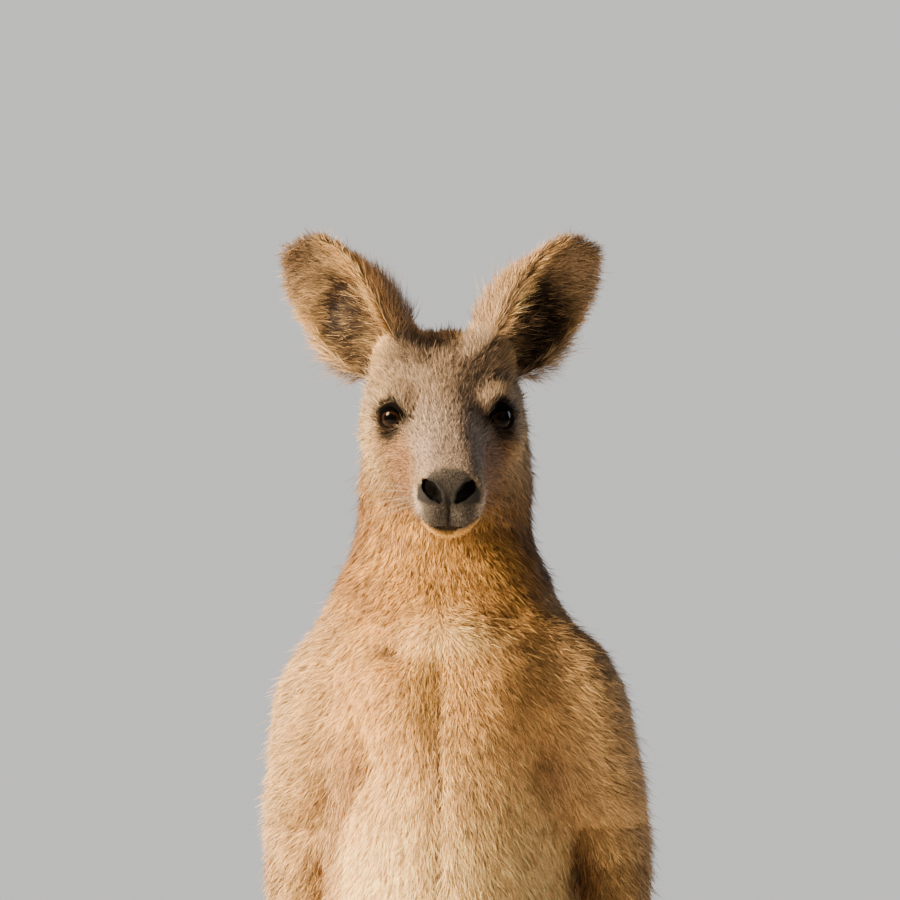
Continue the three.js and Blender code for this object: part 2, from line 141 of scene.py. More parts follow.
# half angles of the opening between the lids, in radians
LID_UPPER, LID_LOWER, LID_INNER, LID_OUTER = 0.66, 0.66, 0.86, 0.92
NOSE_SIDE = -1.6  # mm, the nose stands this far to the right of the head's middle line
# a nostril: distance from the nose's middle, height, half width
NOSTRIL = np.array([[17.2, 2.4, 2.6], [14.6, -1.4, 5.4], [10.4, -6.2, 4.6], [6.4, -11.0, 1.8]])
MOUTH_UP = -36.4
EAR_LENGTH = 120
EAR_AXIS = np.array([85, 44, 70]) / np.linalg.norm([85, 44, 70])
EAR_BASE = np.array([33, 56, 46])
EAR_OPENING = math.radians(42)
EAR_LEAN = 14
# along the ear, half width of the leaf in mm, half angle of its roll in degrees
EAR_LEAF = [
    [0, 50, 128], [0.14, 56, 114], [0.32, 57, 96], [0.52, 52, 75], [0.72, 44, 58], [0.88, 32, 44],
    [0.97, 17, 30], [1, 8, 20],
]

# brow, temple and cheek bones of the left side, in the head's frame: middle, radii
HEAD_FORMS = [
    ([34, 6, 26.5], [15, 27, 7.5]),
    ([40, 24, 13], [15, 26, 18]),
    ([44, 10, -3], [12, 30, 13]),
]
# where the head's skin is made finer, twice: round the lids, by their measure, and how far forward
FINER = ((1.75, 86), (1.2, 97))
PUPIL = np.array([0.40, -0.86, 0.30])  # where the left eye looks
IRIS = 0.70  # its radius, in radii of the eyeball

# ---- colours, as linear red, green and blue ----

TAUPE = np.array([0.168, 0.114, 0.073])
GRIZZLE = np.array([0.200, 0.143, 0.100])
MUZZLE_GREY = np.array([0.245, 0.186, 0.148])
WHISKER_PALE = np.array([0.540, 0.430, 0.340])
CREAM = np.array([0.840, 0.590, 0.280])
BROWN_WARM = np.array([0.190, 0.098, 0.050])
OCHRE = np.array([0.500, 0.268, 0.078])
TAN = np.array([0.540, 0.310, 0.115])
PALE_TAN = np.array([0.800, 0.545, 0.265])
OLIVE_STAIN = np.array([0.360, 0.220, 0.065])
GREY_BROWN = np.array([0.135, 0.092, 0.060])
DARK_BROWN = np.array([0.046, 0.028, 0.017])
NEAR_BLACK = np.array([0.010, 0.008, 0.006])
NOSE_GREY = np.array([0.023, 0.022, 0.022])
LIP_GREY = np.array([0.078, 0.066, 0.058])
EAR_BUFF = np.array([0.450, 0.290, 0.138])
EAR_DARK = np.array([0.018, 0.0085, 0.0045])

PUPIL_BLACK = (0.001, 0.001, 0.001)
# the eye's colours from the pupil's middle to the iris's rim
IRIS_STOPS = [
    (0.0, PUPIL_BLACK),
    (0.50, PUPIL_BLACK),
    (0.57, (0.006, 0.0026, 0.0012)),
    (0.74, (0.017, 0.0075, 0.0033)),
    (0.88, (0.004, 0.002, 0.001)),
    (0.96, PUPIL_BLACK),
]
HORN_DARK, HORN_PALE = (0.012, 0.010, 0.009), (0.060, 0.048, 0.040)

# ---- the coat's tables ----

# length in mm along each part, root to tip of the part; width in mm; lift in degrees; tufts per mm2;
# tone at a tuft's root and at its tip, against its middle
COAT = {
    "trunk": ([19, 18, 16, 13.5, 12, 11, 11.5, 13, 13], 0.92, 25, 0.34, 0.56, 1.3),
    "tail": ([19, 16, 13, 12, 11, 12, 14, 17, 19], 0.85, 20, 0.32, 0.6, 1.25),
    "arm": ([11, 12, 13, 14, 14, 12, 9, 7], 0.5, 27, 1.0, 0.42, 1.35),
    "hand": ([7, 6, 4.5, 3.2], 0.5, 18, 0.8, 0.7, 1.3),
    "thigh": ([19, 19, 18, 16, 14], 0.9, 22, 0.34, 0.6, 1.25),
    "shank": ([14, 13, 11, 10, 9], 0.75, 18, 0.42, 0.62, 1.25),
    "foot": ([9, 8, 7, 6, 5, 4], 0.62, 15, 0.5, 0.7, 1.3),
    "head": ([2.6, 3.2, 4.4, 5.6, 6.8, 8, 9, 10, 11], 0.4, 25, 2.6, 0.34, 1.5),
    "ear": ([8, 10, 11, 11, 10, 9, 8], 0.4, 30, 1.5, 0.34, 1.45),
}
WHORL = np.array([-5, -90, 1050])  # where the hair of the throat and of the breast part
HEAD_LOCK, BODY_LOCK = 0.005, 0.011  # the size of a lock of hairs, in metres
GUARD_HAIRS = 0.05  # the share of tufts that are longer and stand up
DARK_BELOW, PALE_ABOVE = 0.22, 0.8  # each tuft's own number from 0 to 1 makes it dark or pale
PATCH = 0.003  # a tuft's size on the map
LEAF = np.array([[0, 2, 1], [1, 2, 3]])  # a tuft's faces: root, its two sides, tip
# parts whose piece of coat has its own name, besides trunk and head
GROUPS = {"ear": "ears", "arm": "arms", "hand": "hands", "thigh": "thighs", "shank": "shanks"}
GROUPS.update(foot="feet", tail="tail")


# ---- curves, grids and closed surfaces ----

def ease(x, low, high):
    """0 below low, 1 above high, and 3t2 - 2t3 between, where t is the share of the way."""
    t = np.clip((x - low) / (high - low), 0, 1)
    return t * t * (3 - 2 * t)


def fade(x, low, high):
    """1 below low and 0 above high."""
    return 1 - ease(x, low, high)


def bell(*terms):
    """1 at a place, falling off around it: each term is values, where the middle is, and how wide."""
    total = 0.0
    for values, middle, wide in terms:
        total = total - ((values - middle) / wide) ** 2
    return np.exp(total)


def unit(vectors):
    return vectors / np.maximum(np.linalg.norm(vectors, axis=-1, keepdims=True), 1e-12)


def blended(table, t):
    """Rows of a table at shares t of its length, by a Catmull-Rom spline through the rows."""
    rows = np.asarray(table, float)
    rows = np.vstack([2 * rows[0] - rows[1], rows, 2 * rows[-1] - rows[-2]])
    count = len(rows) - 3
    x = np.clip(t, 0, 1) * count
    i = np.minimum(x.astype(int), count - 1)
    u = (x - i)[:, None]
    a, b, c, d = rows[i], rows[i + 1], rows[i + 2], rows[i + 3]
    square, cube = 2 * a - 5 * b + 4 * c - d, 3 * b - a - 3 * c + d
    return 0.5 * (2 * b + (c - a) * u + square * u**2 + cube * u**3)


def rounded(angle, square):
    """A point of a superellipse: the cosine and sine, each raised to 2 / square with its sign kept."""
    c, s = np.cos(angle), np.sin(angle)
    return np.sign(c) * np.abs(c) ** (2 / square), np.sign(s) * np.abs(s) ** (2 / square)


def closed_grid(rings, first, last):
    """A grid of rings, shape (rings, round, 3), closed by a fan to a point at each end."""
    count, round_, _ = rings.shape
    verts = np.vstack([rings.reshape(-1, 3), first, last])
    r, s = np.meshgrid(np.arange(count - 1), np.arange(round_), indexing="ij")
    n = (s + 1) % round_
    quads = np.stack([r * round_ + s, r * round_ + n, (r + 1) * round_ + n, (r + 1) * round_ + s], -1)
    quads = quads.reshape(-1, 4)
    turn = np.arange(round_)
    after = (turn + 1) % round_
    end = (count - 1) * round_
    low = np.stack([np.full(round_, count * round_), after, turn, turn], -1)
    high = np.stack([np.full(round_, count * round_ + 1), end + turn, end + after, end + after], -1)
    return verts, np.vstack([quads, low, high])


def tube(table, shrink=0.0, rings=60, around=48, square=2.15, cap=5):
    """A closed loft: a superellipse of the table's half sizes, less the coat's depth, carried along
    the table's smooth path. Each end is a dome, whose rings shrink by a cosine as they rise by a sine."""
    t = np.linspace(0, 1, rings + 1)
    rows = blended(table, t)
    centre, size = rows[:, :3], np.maximum(rows[:, 3:5] - shrink, 0.6)
    along = unit(np.gradient(centre, axis=0))
    rise = np.linspace(0, math.pi / 2, cap + 1)[1:-1]
    reach = 0.45 * size.min(axis=1)

    def domed(end, way):
        at = centre[end] + way * along[end] * (reach[end] * np.sin(rise))[:, None]
        return at, size[end] * np.cos(rise)[:, None]

    head_c, head_s = domed(0, -1)
    tail_c, tail_s = domed(-1, 1)
    tip_low = centre[0] - along[0] * reach[0]
    tip_high = centre[-1] + along[-1] * reach[-1]
    centre = np.vstack([head_c[::-1], centre, tail_c])
    size = np.vstack([head_s[::-1], size, tail_s])
    along = np.vstack([np.repeat(along[:1], len(rise), 0), along, np.repeat(along[-1:], len(rise), 0)])
    side = unit(np.array([1.0, 0, 0]) - along * along[:, :1])
    deep = np.cross(along, side)
    c, d = rounded(np.linspace(0, 2 * math.pi, around, endpoint=False), square)
    ring = centre[:, None] + side[:, None] * (c * size[:, :1])[..., None]
    ring = ring + deep[:, None] * (d * size[:, 1:])[..., None]
    return closed_grid(ring, tip_low, tip_high)


def triangles(faces):
    """Rows of 4 corners as triangles; a row whose last corner is doubled is one triangle."""
    whole = faces[faces[:, 3] != faces[:, 2]]
    return np.vstack([faces[:, :3], whole[:, [0, 2, 3]]])


def outward(verts, faces):
    """The same closed surface with its faces turned, if need be, so that its volume is positive."""
    a, b, c = (verts[triangles(faces)[:, k]] for k in range(3))
    if (np.cross(a, b) * c).sum() > 0:
        return verts, faces
    return verts, faces[:, [1, 0, 3, 2]]


def ball(centre, radii, rings=24, around=36):
    """A closed ball or egg, by latitude and longitude."""
    rise = np.linspace(-math.pi / 2, math.pi / 2, rings + 2)[1:-1, None]
    turn = np.linspace(0, 2 * math.pi, around, endpoint=False)
    flat = np.cos(rise)
    ring = np.stack([flat * np.cos(turn), flat * np.sin(turn), np.sin(rise) + 0 * turn], -1)
    verts, faces = closed_grid(ring, [0, 0, -1], [0, 0, 1])
    return outward(verts * np.asarray(radii) + centre, faces)


def placed(verts):
    """Millimetres in the animal's own frame as metres in the row frame."""
    return verts * MM + OWN


def on_side(table, side):
    rows = np.array(table, float)
    rows[:, 0] *= side
    return rows


def hung(verts, name):
    """Points of the left arm, turned about the shoulder by the arm's own angle and put on its side."""
    a = math.radians(ARM_OUT[name])
    turn = np.array([[math.cos(a), 0, -math.sin(a)], [0, 1, 0], [math.sin(a), 0, math.cos(a)]])
    out = (np.asarray(verts, float) - SHOULDER) @ turn.T + SHOULDER
    return out * [SIDES[name], 1, 1]


def finger_line(number):
    """Root, direction and length of a finger of the left hand, before the arm is hung."""
    place = number - (FINGERS - 1) / 2
    turn = math.radians(place * FINGER_SPLAY)
    root = KNUCKLES + [place * 7.4, abs(place) * 1.2, abs(place) * 3]
    way = unit(np.array([math.sin(turn), -0.4, -math.cos(turn)]))
    return root, way, FINGER_LENGTHS[number]


# ---- the head's frame ----

def head_axes():
    """Rows are the head's side, back and up axes in the row frame: pitched nose down, then turned."""
    cp, sp, ct, st = math.cos(HEAD_PITCH), math.sin(HEAD_PITCH), math.cos(HEAD_TURN), math.sin(HEAD_TURN)
    pitch = np.array([[1, 0, 0], [0, cp, -sp], [0, sp, cp]])
    turn = np.array([[ct, -st, 0], [st, ct, 0], [0, 0, 1]])
    return (turn @ pitch).T


HEAD_AXES = head_axes()


def eye_middle(name):
    low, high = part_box("eye_" + name)
    return np.array((low + high) / 2)


HEAD_ORIGIN = (eye_middle("left") + eye_middle("right")) / 2
HEAD_ORIGIN = HEAD_ORIGIN - SOLID_EYE * MM @ HEAD_AXES


def from_head(points):
    """Head frame, in mm, to the row frame."""
    return np.asarray(points, float) * MM @ HEAD_AXES + HEAD_ORIGIN


def to_head(points):
    """Row frame to the head frame, in mm: side, back, up."""
    return (points - HEAD_ORIGIN) @ HEAD_AXES.T / MM


# ---- meshes ----

def mesh_of(name, verts, faces):
    """A mesh from arrays. Faces are rows of 3 or 4 corners; a doubled last corner means a triangle."""
    faces = np.asarray(faces)
    if faces.shape[1] == 4:
        keep = np.ones(faces.shape, bool)
        keep[:, 3] = faces[:, 3] != faces[:, 2]
        sizes = keep.sum(1)
        corners = faces[keep]
    else:
        sizes = np.full(len(faces), 3)
        corners = faces.ravel()
    mesh = bpy.data.meshes.new(name)
    mesh.vertices.add(len(verts))
    mesh.vertices.foreach_set("co", np.asarray(verts, np.float32).ravel())
    mesh.loops.add(len(corners))
    mesh.loops.foreach_set("vertex_index", corners.astype(np.int32))
    mesh.polygons.add(len(sizes))
    starts = np.concatenate([[0], np.cumsum(sizes)[:-1]])
    mesh.polygons.foreach_set("loop_start", starts.astype(np.int32))
    mesh.update(calc_edges=True)
    return mesh


def object_of(name, mesh):
    obj = bpy.data.objects.new(name, mesh)
    bpy.context.scene.collection.objects.link(obj)
    return obj


def joined(pieces):
    """Several (verts, faces) as one."""
    starts = np.cumsum([0] + [len(v) for v, _ in pieces[:-1]])
    return np.vstack([v for v, _ in pieces]), np.vstack([f + s for (_, f), s in zip(pieces, starts)])


def arrays_of(mesh):
    """Vertices and triangles of a mesh."""
    verts = np.empty(len(mesh.vertices) * 3, np.float32)
    mesh.vertices.foreach_get("co", verts)
    mesh.calc_loop_triangles()
    tris = np.empty(len(mesh.loop_triangles) * 3, np.int32)
    mesh.loop_triangles.foreach_get("vertices", tris)
    return verts.reshape(-1, 3).astype(float), tris.reshape(-1, 3)


def with_modifier(verts, faces, kind, **settings):
    """The mesh that one modifier makes of these arrays, as arrays of vertices and triangles."""
    obj = object_of("work", mesh_of("work", verts, faces))
    modifier = obj.modifiers.new("work", kind)
    for key, value in settings.items():
        setattr(modifier, key, value)
    graph = bpy.context.evaluated_depsgraph_get()
    made = bpy.data.meshes.new_from_object(obj.evaluated_get(graph))
    result = arrays_of(made)
    bpy.data.objects.remove(obj)
    bpy.data.meshes.remove(made)
    return result


def remeshed(pieces, size):
    """Several (verts, faces) melted into one surface of triangles about this size."""
    return with_modifier(*joined(pieces), "REMESH", mode="VOXEL", voxel_size=size, adaptivity=0.0)


def united(first, second):
    """The union of two closed surfaces."""
    other = object_of("other", mesh_of("other", *second))
    result = with_modifier(*first, "BOOLEAN", operation="UNION", solver="MANIFOLD", object=other)
    bpy.data.objects.remove(other)
    return result


def edges_of(tris):
    """The three edges of every triangle: all the first ones, then the second, then the third."""
    return np.vstack([tris[:, [0, 1]], tris[:, [1, 2]], tris[:, [2, 0]]])


class Web:
    """The edges of a surface, for averages over each vertex's neighbours."""

    def __init__(self, verts, tris):
        pairs = edges_of(tris)
        self.start = np.concatenate([pairs[:, 0], pairs[:, 1]])
        self.end = np.concatenate([pairs[:, 1], pairs[:, 0]])
        self.count = len(verts)
        self.degree = np.maximum(np.bincount(self.start, minlength=self.count), 1)
        self.tris = tris

    def average(self, values):
        sums = [np.bincount(self.start, column[self.end], self.count) for column in values.T]
        return np.stack(sums, 1) / self.degree[:, None]

    def normals(self, verts):
        a, b, c = (verts[corner] for corner in self.tris.T)
        face = np.cross(b - a, c - a)

        def around(values):
            return sum(np.bincount(corner, values, self.count) for corner in self.tris.T)

        return unit(np.stack([around(column) for column in face.T], 1))


def creases_filled(verts, tris, rounds, mask=1.0):
    """Grows flesh into the creases between joined forms: each vertex moves out along its normal by a
    half of what its neighbours' mean lies outside it, and never in."""
    web = Web(verts, tris)
    strength = 0.5 * mask
    for step in range(rounds):
        if step % 10 == 0:
            normal = web.normals(verts)
        out = ((web.average(verts) - verts) * normal).sum(1)
        verts = verts + normal * (np.maximum(out, 0) * strength)[:, None]
    return verts


def evened(verts, tris, rounds, mask=1.0, steps=(0.5, -0.52)):
    """Smooths without shrinking: a step towards the neighbours' mean, then one back. Without the step
    back it melts small lumps away."""
    web = Web(verts, tris)
    for _ in range(rounds):
        for share in steps:
            verts = verts + (web.average(verts) - verts) * (share * mask)
    return verts


# ---- the head's skin, worked in its own frame and in millimetres ----

def coat_on_head(points):
    """How deep the coat lies over the head, in mm: shallow on the muzzle, none on the nose and lips,
    deeper over the crown and deepest on the cheeks and throat."""
    back, up = points[:, 1], points[:, 2]
    depth = 2.0 + 2.3 * ease(back, -45, 10) + 1.5 * ease(back, 10, 60)
    depth = depth + 2.6 * ease(back, -30, 20) * ease(-up, 5, 45)
    return depth * (1 - 0.92 * ease(-back, 94, 106))


def head_loft(extra=0.0, rings=120, around=80):
    """The head's outline sunk by its coat and by an extra depth. Each ring is a superellipse that grows
    squarer towards the muzzle, narrowed above and below by the table's shares."""
    rows = blended(HEAD, np.linspace(0, 1, rings))
    forward, half, top, bottom, above, below = (rows[:, k, None] for k in range(6))
    angle = np.linspace(0, 2 * math.pi, around, endpoint=False)[None]
    c, d = rounded(angle, 2.2 + 0.7 * ease(forward, 30, 90))
    slim = np.where(d > 0, 1 - above * d, 1 - below * d * d)
    ring = np.stack(
        [half * c * slim, -forward + 0 * c, (top + bottom) / 2 + (top - bottom) / 2 * d], -1
    )
    verts, faces = outward(*closed_grid(ring, [0, -117, -3], [0, 103, 10]))
    normal = Web(verts, triangles(faces)).normals(verts)
    return verts - normal * (coat_on_head(verts) + extra)[:, None], faces


EYES = {name: np.array([side * EYE_SIDE, -EYE_FORWARD, EYE_UP]) for name, side in SIDES.items()}


def eye_coordinates(points, name):
    """Distance from an eyeball's middle, and angles in radians off the middle of its opening: towards
    the ear, and up."""
    side = SIDES[name]
    gaze = GAZE * [side, 1, 1]
    away = unit(np.cross(gaze, [0, 0, 1]) * side)
    away = away * np.sign(away[0] * side)
    rise = np.cross(away, gaze)
    rise = rise * np.sign(rise[2])
    arm = points - EYES[name]
    reach = np.linalg.norm(arm, axis=1)
    along = arm @ gaze
    return reach, np.arctan2(arm @ away, along), np.arctan2(arm @ rise, along)


def lid_measure(points, name):
    """Distance from the eyeball's middle, and a measure that is 0 in the middle of the opening and 1 at
    the lids' edge, along an almond whose lower half is the deeper."""
    reach, across, up = eye_coordinates(points, name)
    tall = np.where(up > 0, LID_UPPER, LID_LOWER)
    wide = np.where(across > 0, LID_OUTER, LID_INNER)
    measure = (np.abs(across / wide) ** 1.8 + np.abs(up / tall) ** 1.8) ** (1 / 1.8)
    return reach, measure


def lids_opened(verts):
    """Drapes the skin over each eyeball as a rolled rim and sinks it inside the ball within the lids."""
    for name in SIDES:
        reach, measure = lid_measure(verts, name)
        near = reach < EYE_RADIUS + 16
        arm = verts - EYES[name]
        rim = EYE_RADIUS + 0.9 + 0.9 * bell((measure, 1.2, 0.14))
        outside = rim + (reach - rim) * ease(measure, 1.1, 1.7)
        inside = EYE_RADIUS - 3.0
        target = inside + (outside - inside) * ease(measure, 0.93, 1.07)
        target = np.where(near & (measure < 1.9), target, reach)
        verts = EYES[name] + arm * (target / np.maximum(reach, 1e-6))[:, None]
    return verts


def along_line(points, line):
    """Distance of 2-D points from a line of (x, y, half width) rows, less the half width there."""
    best = np.full(len(points), 1e9)
    for a, b in zip(line[:-1], line[1:]):
        way = b[:2] - a[:2]
        t = np.clip((points - a[:2]) @ way / (way @ way), 0, 1)
        gap = np.linalg.norm(points - a[:2] - t[:, None] * way, axis=1) - (a[2] + (b[2] - a[2]) * t)
        best = np.minimum(best, gap)
    return best


def nostril_gap(points):
    """Distance outside the edge of the nearer nostril, seen from straight ahead."""
    flat = np.stack([np.abs(points[:, 0] - NOSE_SIDE), points[:, 2]], 1)
    return along_line(flat, NOSTRIL)


def mouth_rise(points):
    """Height above the line of the mouth: level under the nose, then rising slowly along the jaw."""
    forward, side = -points[:, 1], np.clip(np.abs(points[:, 0] - NOSE_SIDE), 0, 20)
    curl = 0.024 * side**2 * ease(forward, 88, 98)
    return points[:, 2] - (MOUTH_UP + curl + 5.0 * ease(-forward, -98, -56))


def muzzle_carved(verts):
    """Sinks the nostrils, the cleft and the mouth, rounds out the two lips, and lifts the nose's pad."""
    side, forward, up = verts[:, 0] - NOSE_SIDE, -verts[:, 1], verts[:, 2]
    front = ease(forward, 92, 101)
    lobes = bell((np.abs(side), 12, 8.5), (up, -25, 9))
    push = 3.6 * lobes * front
    gap = nostril_gap(verts)
    push = push - 15.0 * ease(-gap, -0.6, 3.0) * front
    push = push + 0.6 * bell((gap, 2.0, 1.6)) * front * ease(up, -16, -8)
    cleft = bell((side, 0, 1.15)) * ease(-up, 9, 14) * ease(up, -38, -34)
    push = push - 3.4 * cleft * front
    groove = bell((side, 0, 2.6)) * ease(-up, 2, 14) * ease(up, -18, -8)
    push = push - 0.9 * groove * front
    under = ease(-up, 12, 14.5) * ease(up, -19, -15) * ease(-np.abs(side), -23, -19)
    push = push - 0.4 * under * front
    rise = mouth_rise(verts)
    opening = 3.2 * ease(-np.abs(side), -12, -2) * ease(forward, 90, 100)
    slit = bell((rise, 0, 0.8 + opening)) * ease(forward, 54, 64)
    slit = slit * (1 - 0.75 * front * ease(np.abs(side), 7, 14))
    chin = ease(-rise, 1.0, 3.5) * ease(forward, 84, 100)
    moved = verts.copy()
    moved[:, 1] = verts[:, 1] - push + 0.9 * chin + slit * (1.5 + 4.4 * front)
    inward = slit * (1 - front) * 1.9
    moved[:, 0] = verts[:, 0] - np.sign(verts[:, 0]) * inward * ease(np.abs(verts[:, 0]), 4, 14)
    return moved


def ear_axes():
    """The left ear's axis, its open side and the line across its rims, in the head frame."""
    facing = np.array([math.sin(EAR_OPENING), -math.cos(EAR_OPENING), 0])
    open_ = unit(facing - EAR_AXIS * (facing @ EAR_AXIS))
    return EAR_AXIS, open_, np.cross(EAR_AXIS, open_)


def ear_roll(t):
    """Half width of the ear's leaf, and the radius it is rolled to, at heights t along it."""
    stations = [row[0] for row in EAR_LEAF]
    share = np.interp(t, stations, np.linspace(0, 1, len(stations)))
    half, roll = blended([row[1:] for row in EAR_LEAF], share).T
    return half, half / np.radians(roll)


def ear_loft(name, trim=6.0, thickness=2.6, steps=60, across=24):
    """A closed leaf: rolled through the table's angle at its foot and nearly flat at its tip, its inner
    and outer faces half the thickness either side of the roll, and both edges rounded."""
    axis, open_, rim = ear_axes()
    t = np.linspace(-0.2, 1, steps)
    half, radius = ear_roll(t)
    roll = np.maximum(half - trim, 1.5) / radius
    s = np.sin(np.linspace(-math.pi / 2, math.pi / 2, across + 1))
    s = np.concatenate([s, s[::-1][1:-1]])
    face = np.concatenate([np.ones(across + 1), -np.ones(across - 1)])
    r = radius[:, None] + face * thickness / 2 * np.sqrt(1 - s**4)
    angle = s * roll[:, None]
    out = (0.5 * radius)[:, None] - r * np.cos(angle) + EAR_LEAN * (t * np.abs(t))[:, None]
    ring = EAR_BASE + axis * ((EAR_LENGTH - trim) * t)[:, None, None]
    ring = ring + rim * (r * np.sin(angle))[..., None] + open_ * out[..., None]
    first = ring[0].mean(0) - axis
    last = ring[-1].mean(0) + axis * thickness / 2
    verts, faces = closed_grid(ring, first, last)
    return outward(verts * [SIDES[name], 1, 1], faces)


def head_skin():
    """The head with its lids, nose, mouth and ears."""
    pieces = [head_loft()]
    for name, side in SIDES.items():
        pieces.append(ball(EYES[name], [EYE_RADIUS + 1.2] * 3))
        for (x, y, z), radii in HEAD_FORMS:
            pieces.append(ball([side * x, y, z], radii))
        foot = EAR_BASE - EAR_AXIS * 8 + ear_axes()[1] * 6
        pieces.append(ball(foot * [side, 1, 1], [20, 20, 20]))
    verts, tris = remeshed(pieces, GRAIN["head"])
    verts = creases_filled(verts, tris, 36)
    verts = evened(verts, tris, 22, fade(-verts[:, 1:2], 70, 92), steps=(0.5,))
    for spread, front in FINER:
        forward = -verts[:, 1]
        near = forward > front
        near |= (np.abs(mouth_rise(verts)) < 4) & (forward > front - 34)
        near &= verts[:, 2] > -48
        for name in SIDES:
            reach, measure = lid_measure(verts, name)
            near |= (reach < EYE_RADIUS + 10) & (measure < spread) & (measure > spread - 1)
        if front == FINER[-1][1]:
            near &= (nostril_gap(verts) < 4) | (np.abs(mouth_rise(verts)) < 5) | (forward < 80)
        verts, tris = refined(verts, tris, near)
        mask = np.ones((len(verts), 1))
        mask[: len(near), 0] = near
        verts = evened(verts, tris, 2, mask)
    head = (muzzle_carved(lids_opened(verts)), tris)
    for name in SIDES:
        head = united(head, ear_loft(name))
    verts, tris = head
    foot = np.zeros(len(verts))
    for side in SIDES.values():
        away = np.linalg.norm(verts - (EAR_BASE + EAR_AXIS * 8) * [side, 1, 1], axis=1)
        foot = np.maximum(foot, fade(away, 38, 56))
    foot = foot * fade(-verts[:, 1], -20, -8)
    verts = creases_filled(verts, tris, 60, foot)
    return evened(verts, tris, 4, foot[:, None]), tris


def refined(verts, tris, chosen):
    """Splits every edge whose two ends are chosen, and cuts its triangles to match."""
    edges = np.sort(edges_of(tris), axis=1)
    keys = edges[:, 0].astype(np.int64) * len(verts) + edges[:, 1]
    keys, inverse = np.unique(keys, return_inverse=True)
    ends = np.stack([keys // len(verts), keys % len(verts)], 1)
    split = chosen[ends].all(1)
    made = np.full(len(keys), -1)
    made[split] = len(verts) + np.arange(split.sum())
    middle = made[inverse].reshape(3, -1).T
    verts = np.vstack([verts, verts[ends[split]].mean(1)])
    count = (middle >= 0).sum(1)
    parts = [tris[count == 0]]
    a, b, c = tris[count == 3].T
    ab, bc, ca = middle[count == 3].T
    parts += [np.stack(rows, 1) for rows in ((a, ab, ca), (ab, b, bc), (ca, bc, c), (ab, bc, ca))]
    for k in range(3):
        one = (count == 1) & (middle[:, k] >= 0)
        a, b, c = tris[one, k], tris[one, (k + 1) % 3], tris[one, (k + 2) % 3]
        parts += [np.stack([a, middle[one, k], c], 1), np.stack([middle[one, k], b, c], 1)]
    return verts, np.vstack(parts)


# ---- the rest of the skin ----

def body_skin():
    """Trunk, tail and limbs as one surface round a core of the head, their creases filled."""
    pieces = [tube(TRUNK, DEPTH["trunk"], rings=90, around=64)]
    pieces.append(tube(TAIL, DEPTH["tail"], rings=90, around=32))
    for name, side in SIDES.items():
        verts, faces = tube(ARM, DEPTH["arm"], rings=60, around=36)
        pieces.append(outward(hung(verts, name), faces))
        pieces.append(tube(on_side(THIGH, side), DEPTH["thigh"], rings=50, around=48))
        pieces.append(tube(on_side(SHANK, side), DEPTH["shank"], rings=50, around=36))
        pieces.append(tube(on_side(FOOT, side), DEPTH["foot"], rings=50, around=36, square=2.4))
    pieces = [(placed(verts), faces) for verts, faces in pieces]
    verts, faces = head_loft(extra=1.6)
    pieces.append((from_head(verts), faces))
    verts, tris = remeshed(pieces, GRAIN["body"])
    verts = creases_filled(verts, tris, 120)
    verts = evened(verts, tris, 10)
    return breast_shaped(verts, Web(verts, tris).normals(verts)), tris


def breast_shaped(verts, normals):
    """Swells the two halves of the breast, sinks the middle line, the folds in front of the armpits and
    the crook of each elbow, and fills the flanks behind the arms."""
    q = (verts - OWN) / MM
    x, z = q[:, 0] + 4, q[:, 2]
    front = ease(-normals[:, 1], 0.1, 0.6)
    swell = 8 * bell((np.abs(x), 36, 30), (z, 1008, 34))
    furrow = -3.4 * bell((x, 0, 6)) * ease(z, 700, 800) * fade(z, 1020, 1050)
    fold = np.abs(q[:, 0] - 5) - arm_line(z)
    fold = -(8 + 5 * bell((z, 953, 14))) * bell((fold, 0, 8))
    fold = fold * ease(z, 850, 900) * fade(z, 975, 1000)
    notch = -10 * bell((x, -33, 8), (z, 1037, 8))
    notch = notch - 5 * bell((x, 48, 8), (z, 1064, 9))
    crest = 7 * bell((x, 8, 25), (z, 1050, 13))
    arm = ease(np.abs(q[:, 0]), 88, 98) * ease(-normals[:, 1], -0.1, 0.5)
    crook = arm * (3.5 * bell((z, 928, 11)) - 5 * bell((z, 906, 7)))
    side = ease(np.abs(normals[:, 0]), 0.4, 0.8) * ease(q[:, 1], 0, 25) * (q[:, 1] < 110)
    side = side * fade(np.abs(q[:, 0]), 95, 103)
    flank = 15 * side * ease(z, 740, 830) * fade(z, 900, 980)
    out = front * (swell + furrow + fold + notch + crest) + crook + flank
    return verts + normals * (MM * out)[:, None]


def arm_line(z):
    """How far from the middle the front of the body meets the inner side of the arm."""
    return 83 - 17 * ease(z, 900, 955)


def finger(root, way, length, thick, thin):
    """A tapered finger: a row of stations from its root, each a little lower than straight."""
    share = np.linspace(-0.25, 1, 6)[:, None]
    centre = root + way * length * share + np.array([0, 0, -1.0]) * (share**2) * 1.5
    size = thick + (thin - thick) * np.clip(share, 0, 1)
    knob = 1 + 0.1 * np.cos(share * 9.4)
    return np.hstack([centre, size * knob, size * knob * 0.92])


def hand_skin(name):
    """Palm and fingers of one hand, with little of the coat's depth left on the fingers."""
    pieces = [tube(PALM, DEPTH["palm"] * 0.7, rings=24, around=28)]
    for number in range(FINGERS):
        root, way, length = finger_line(number)
        place = abs(number - (FINGERS - 1) / 2)
        row = finger(root, way, length, 5.6 - 0.3 * place, 4.0)
        pieces.append(tube(row, 0.4, rings=20, around=16, square=2))
    pieces = [outward(hung(verts, name), faces) for verts, faces in pieces]
    verts, tris = remeshed(pieces, GRAIN["hand"])
    verts = creases_filled(verts, tris, 8)
    return placed(evened(verts, tris, 3)), tris


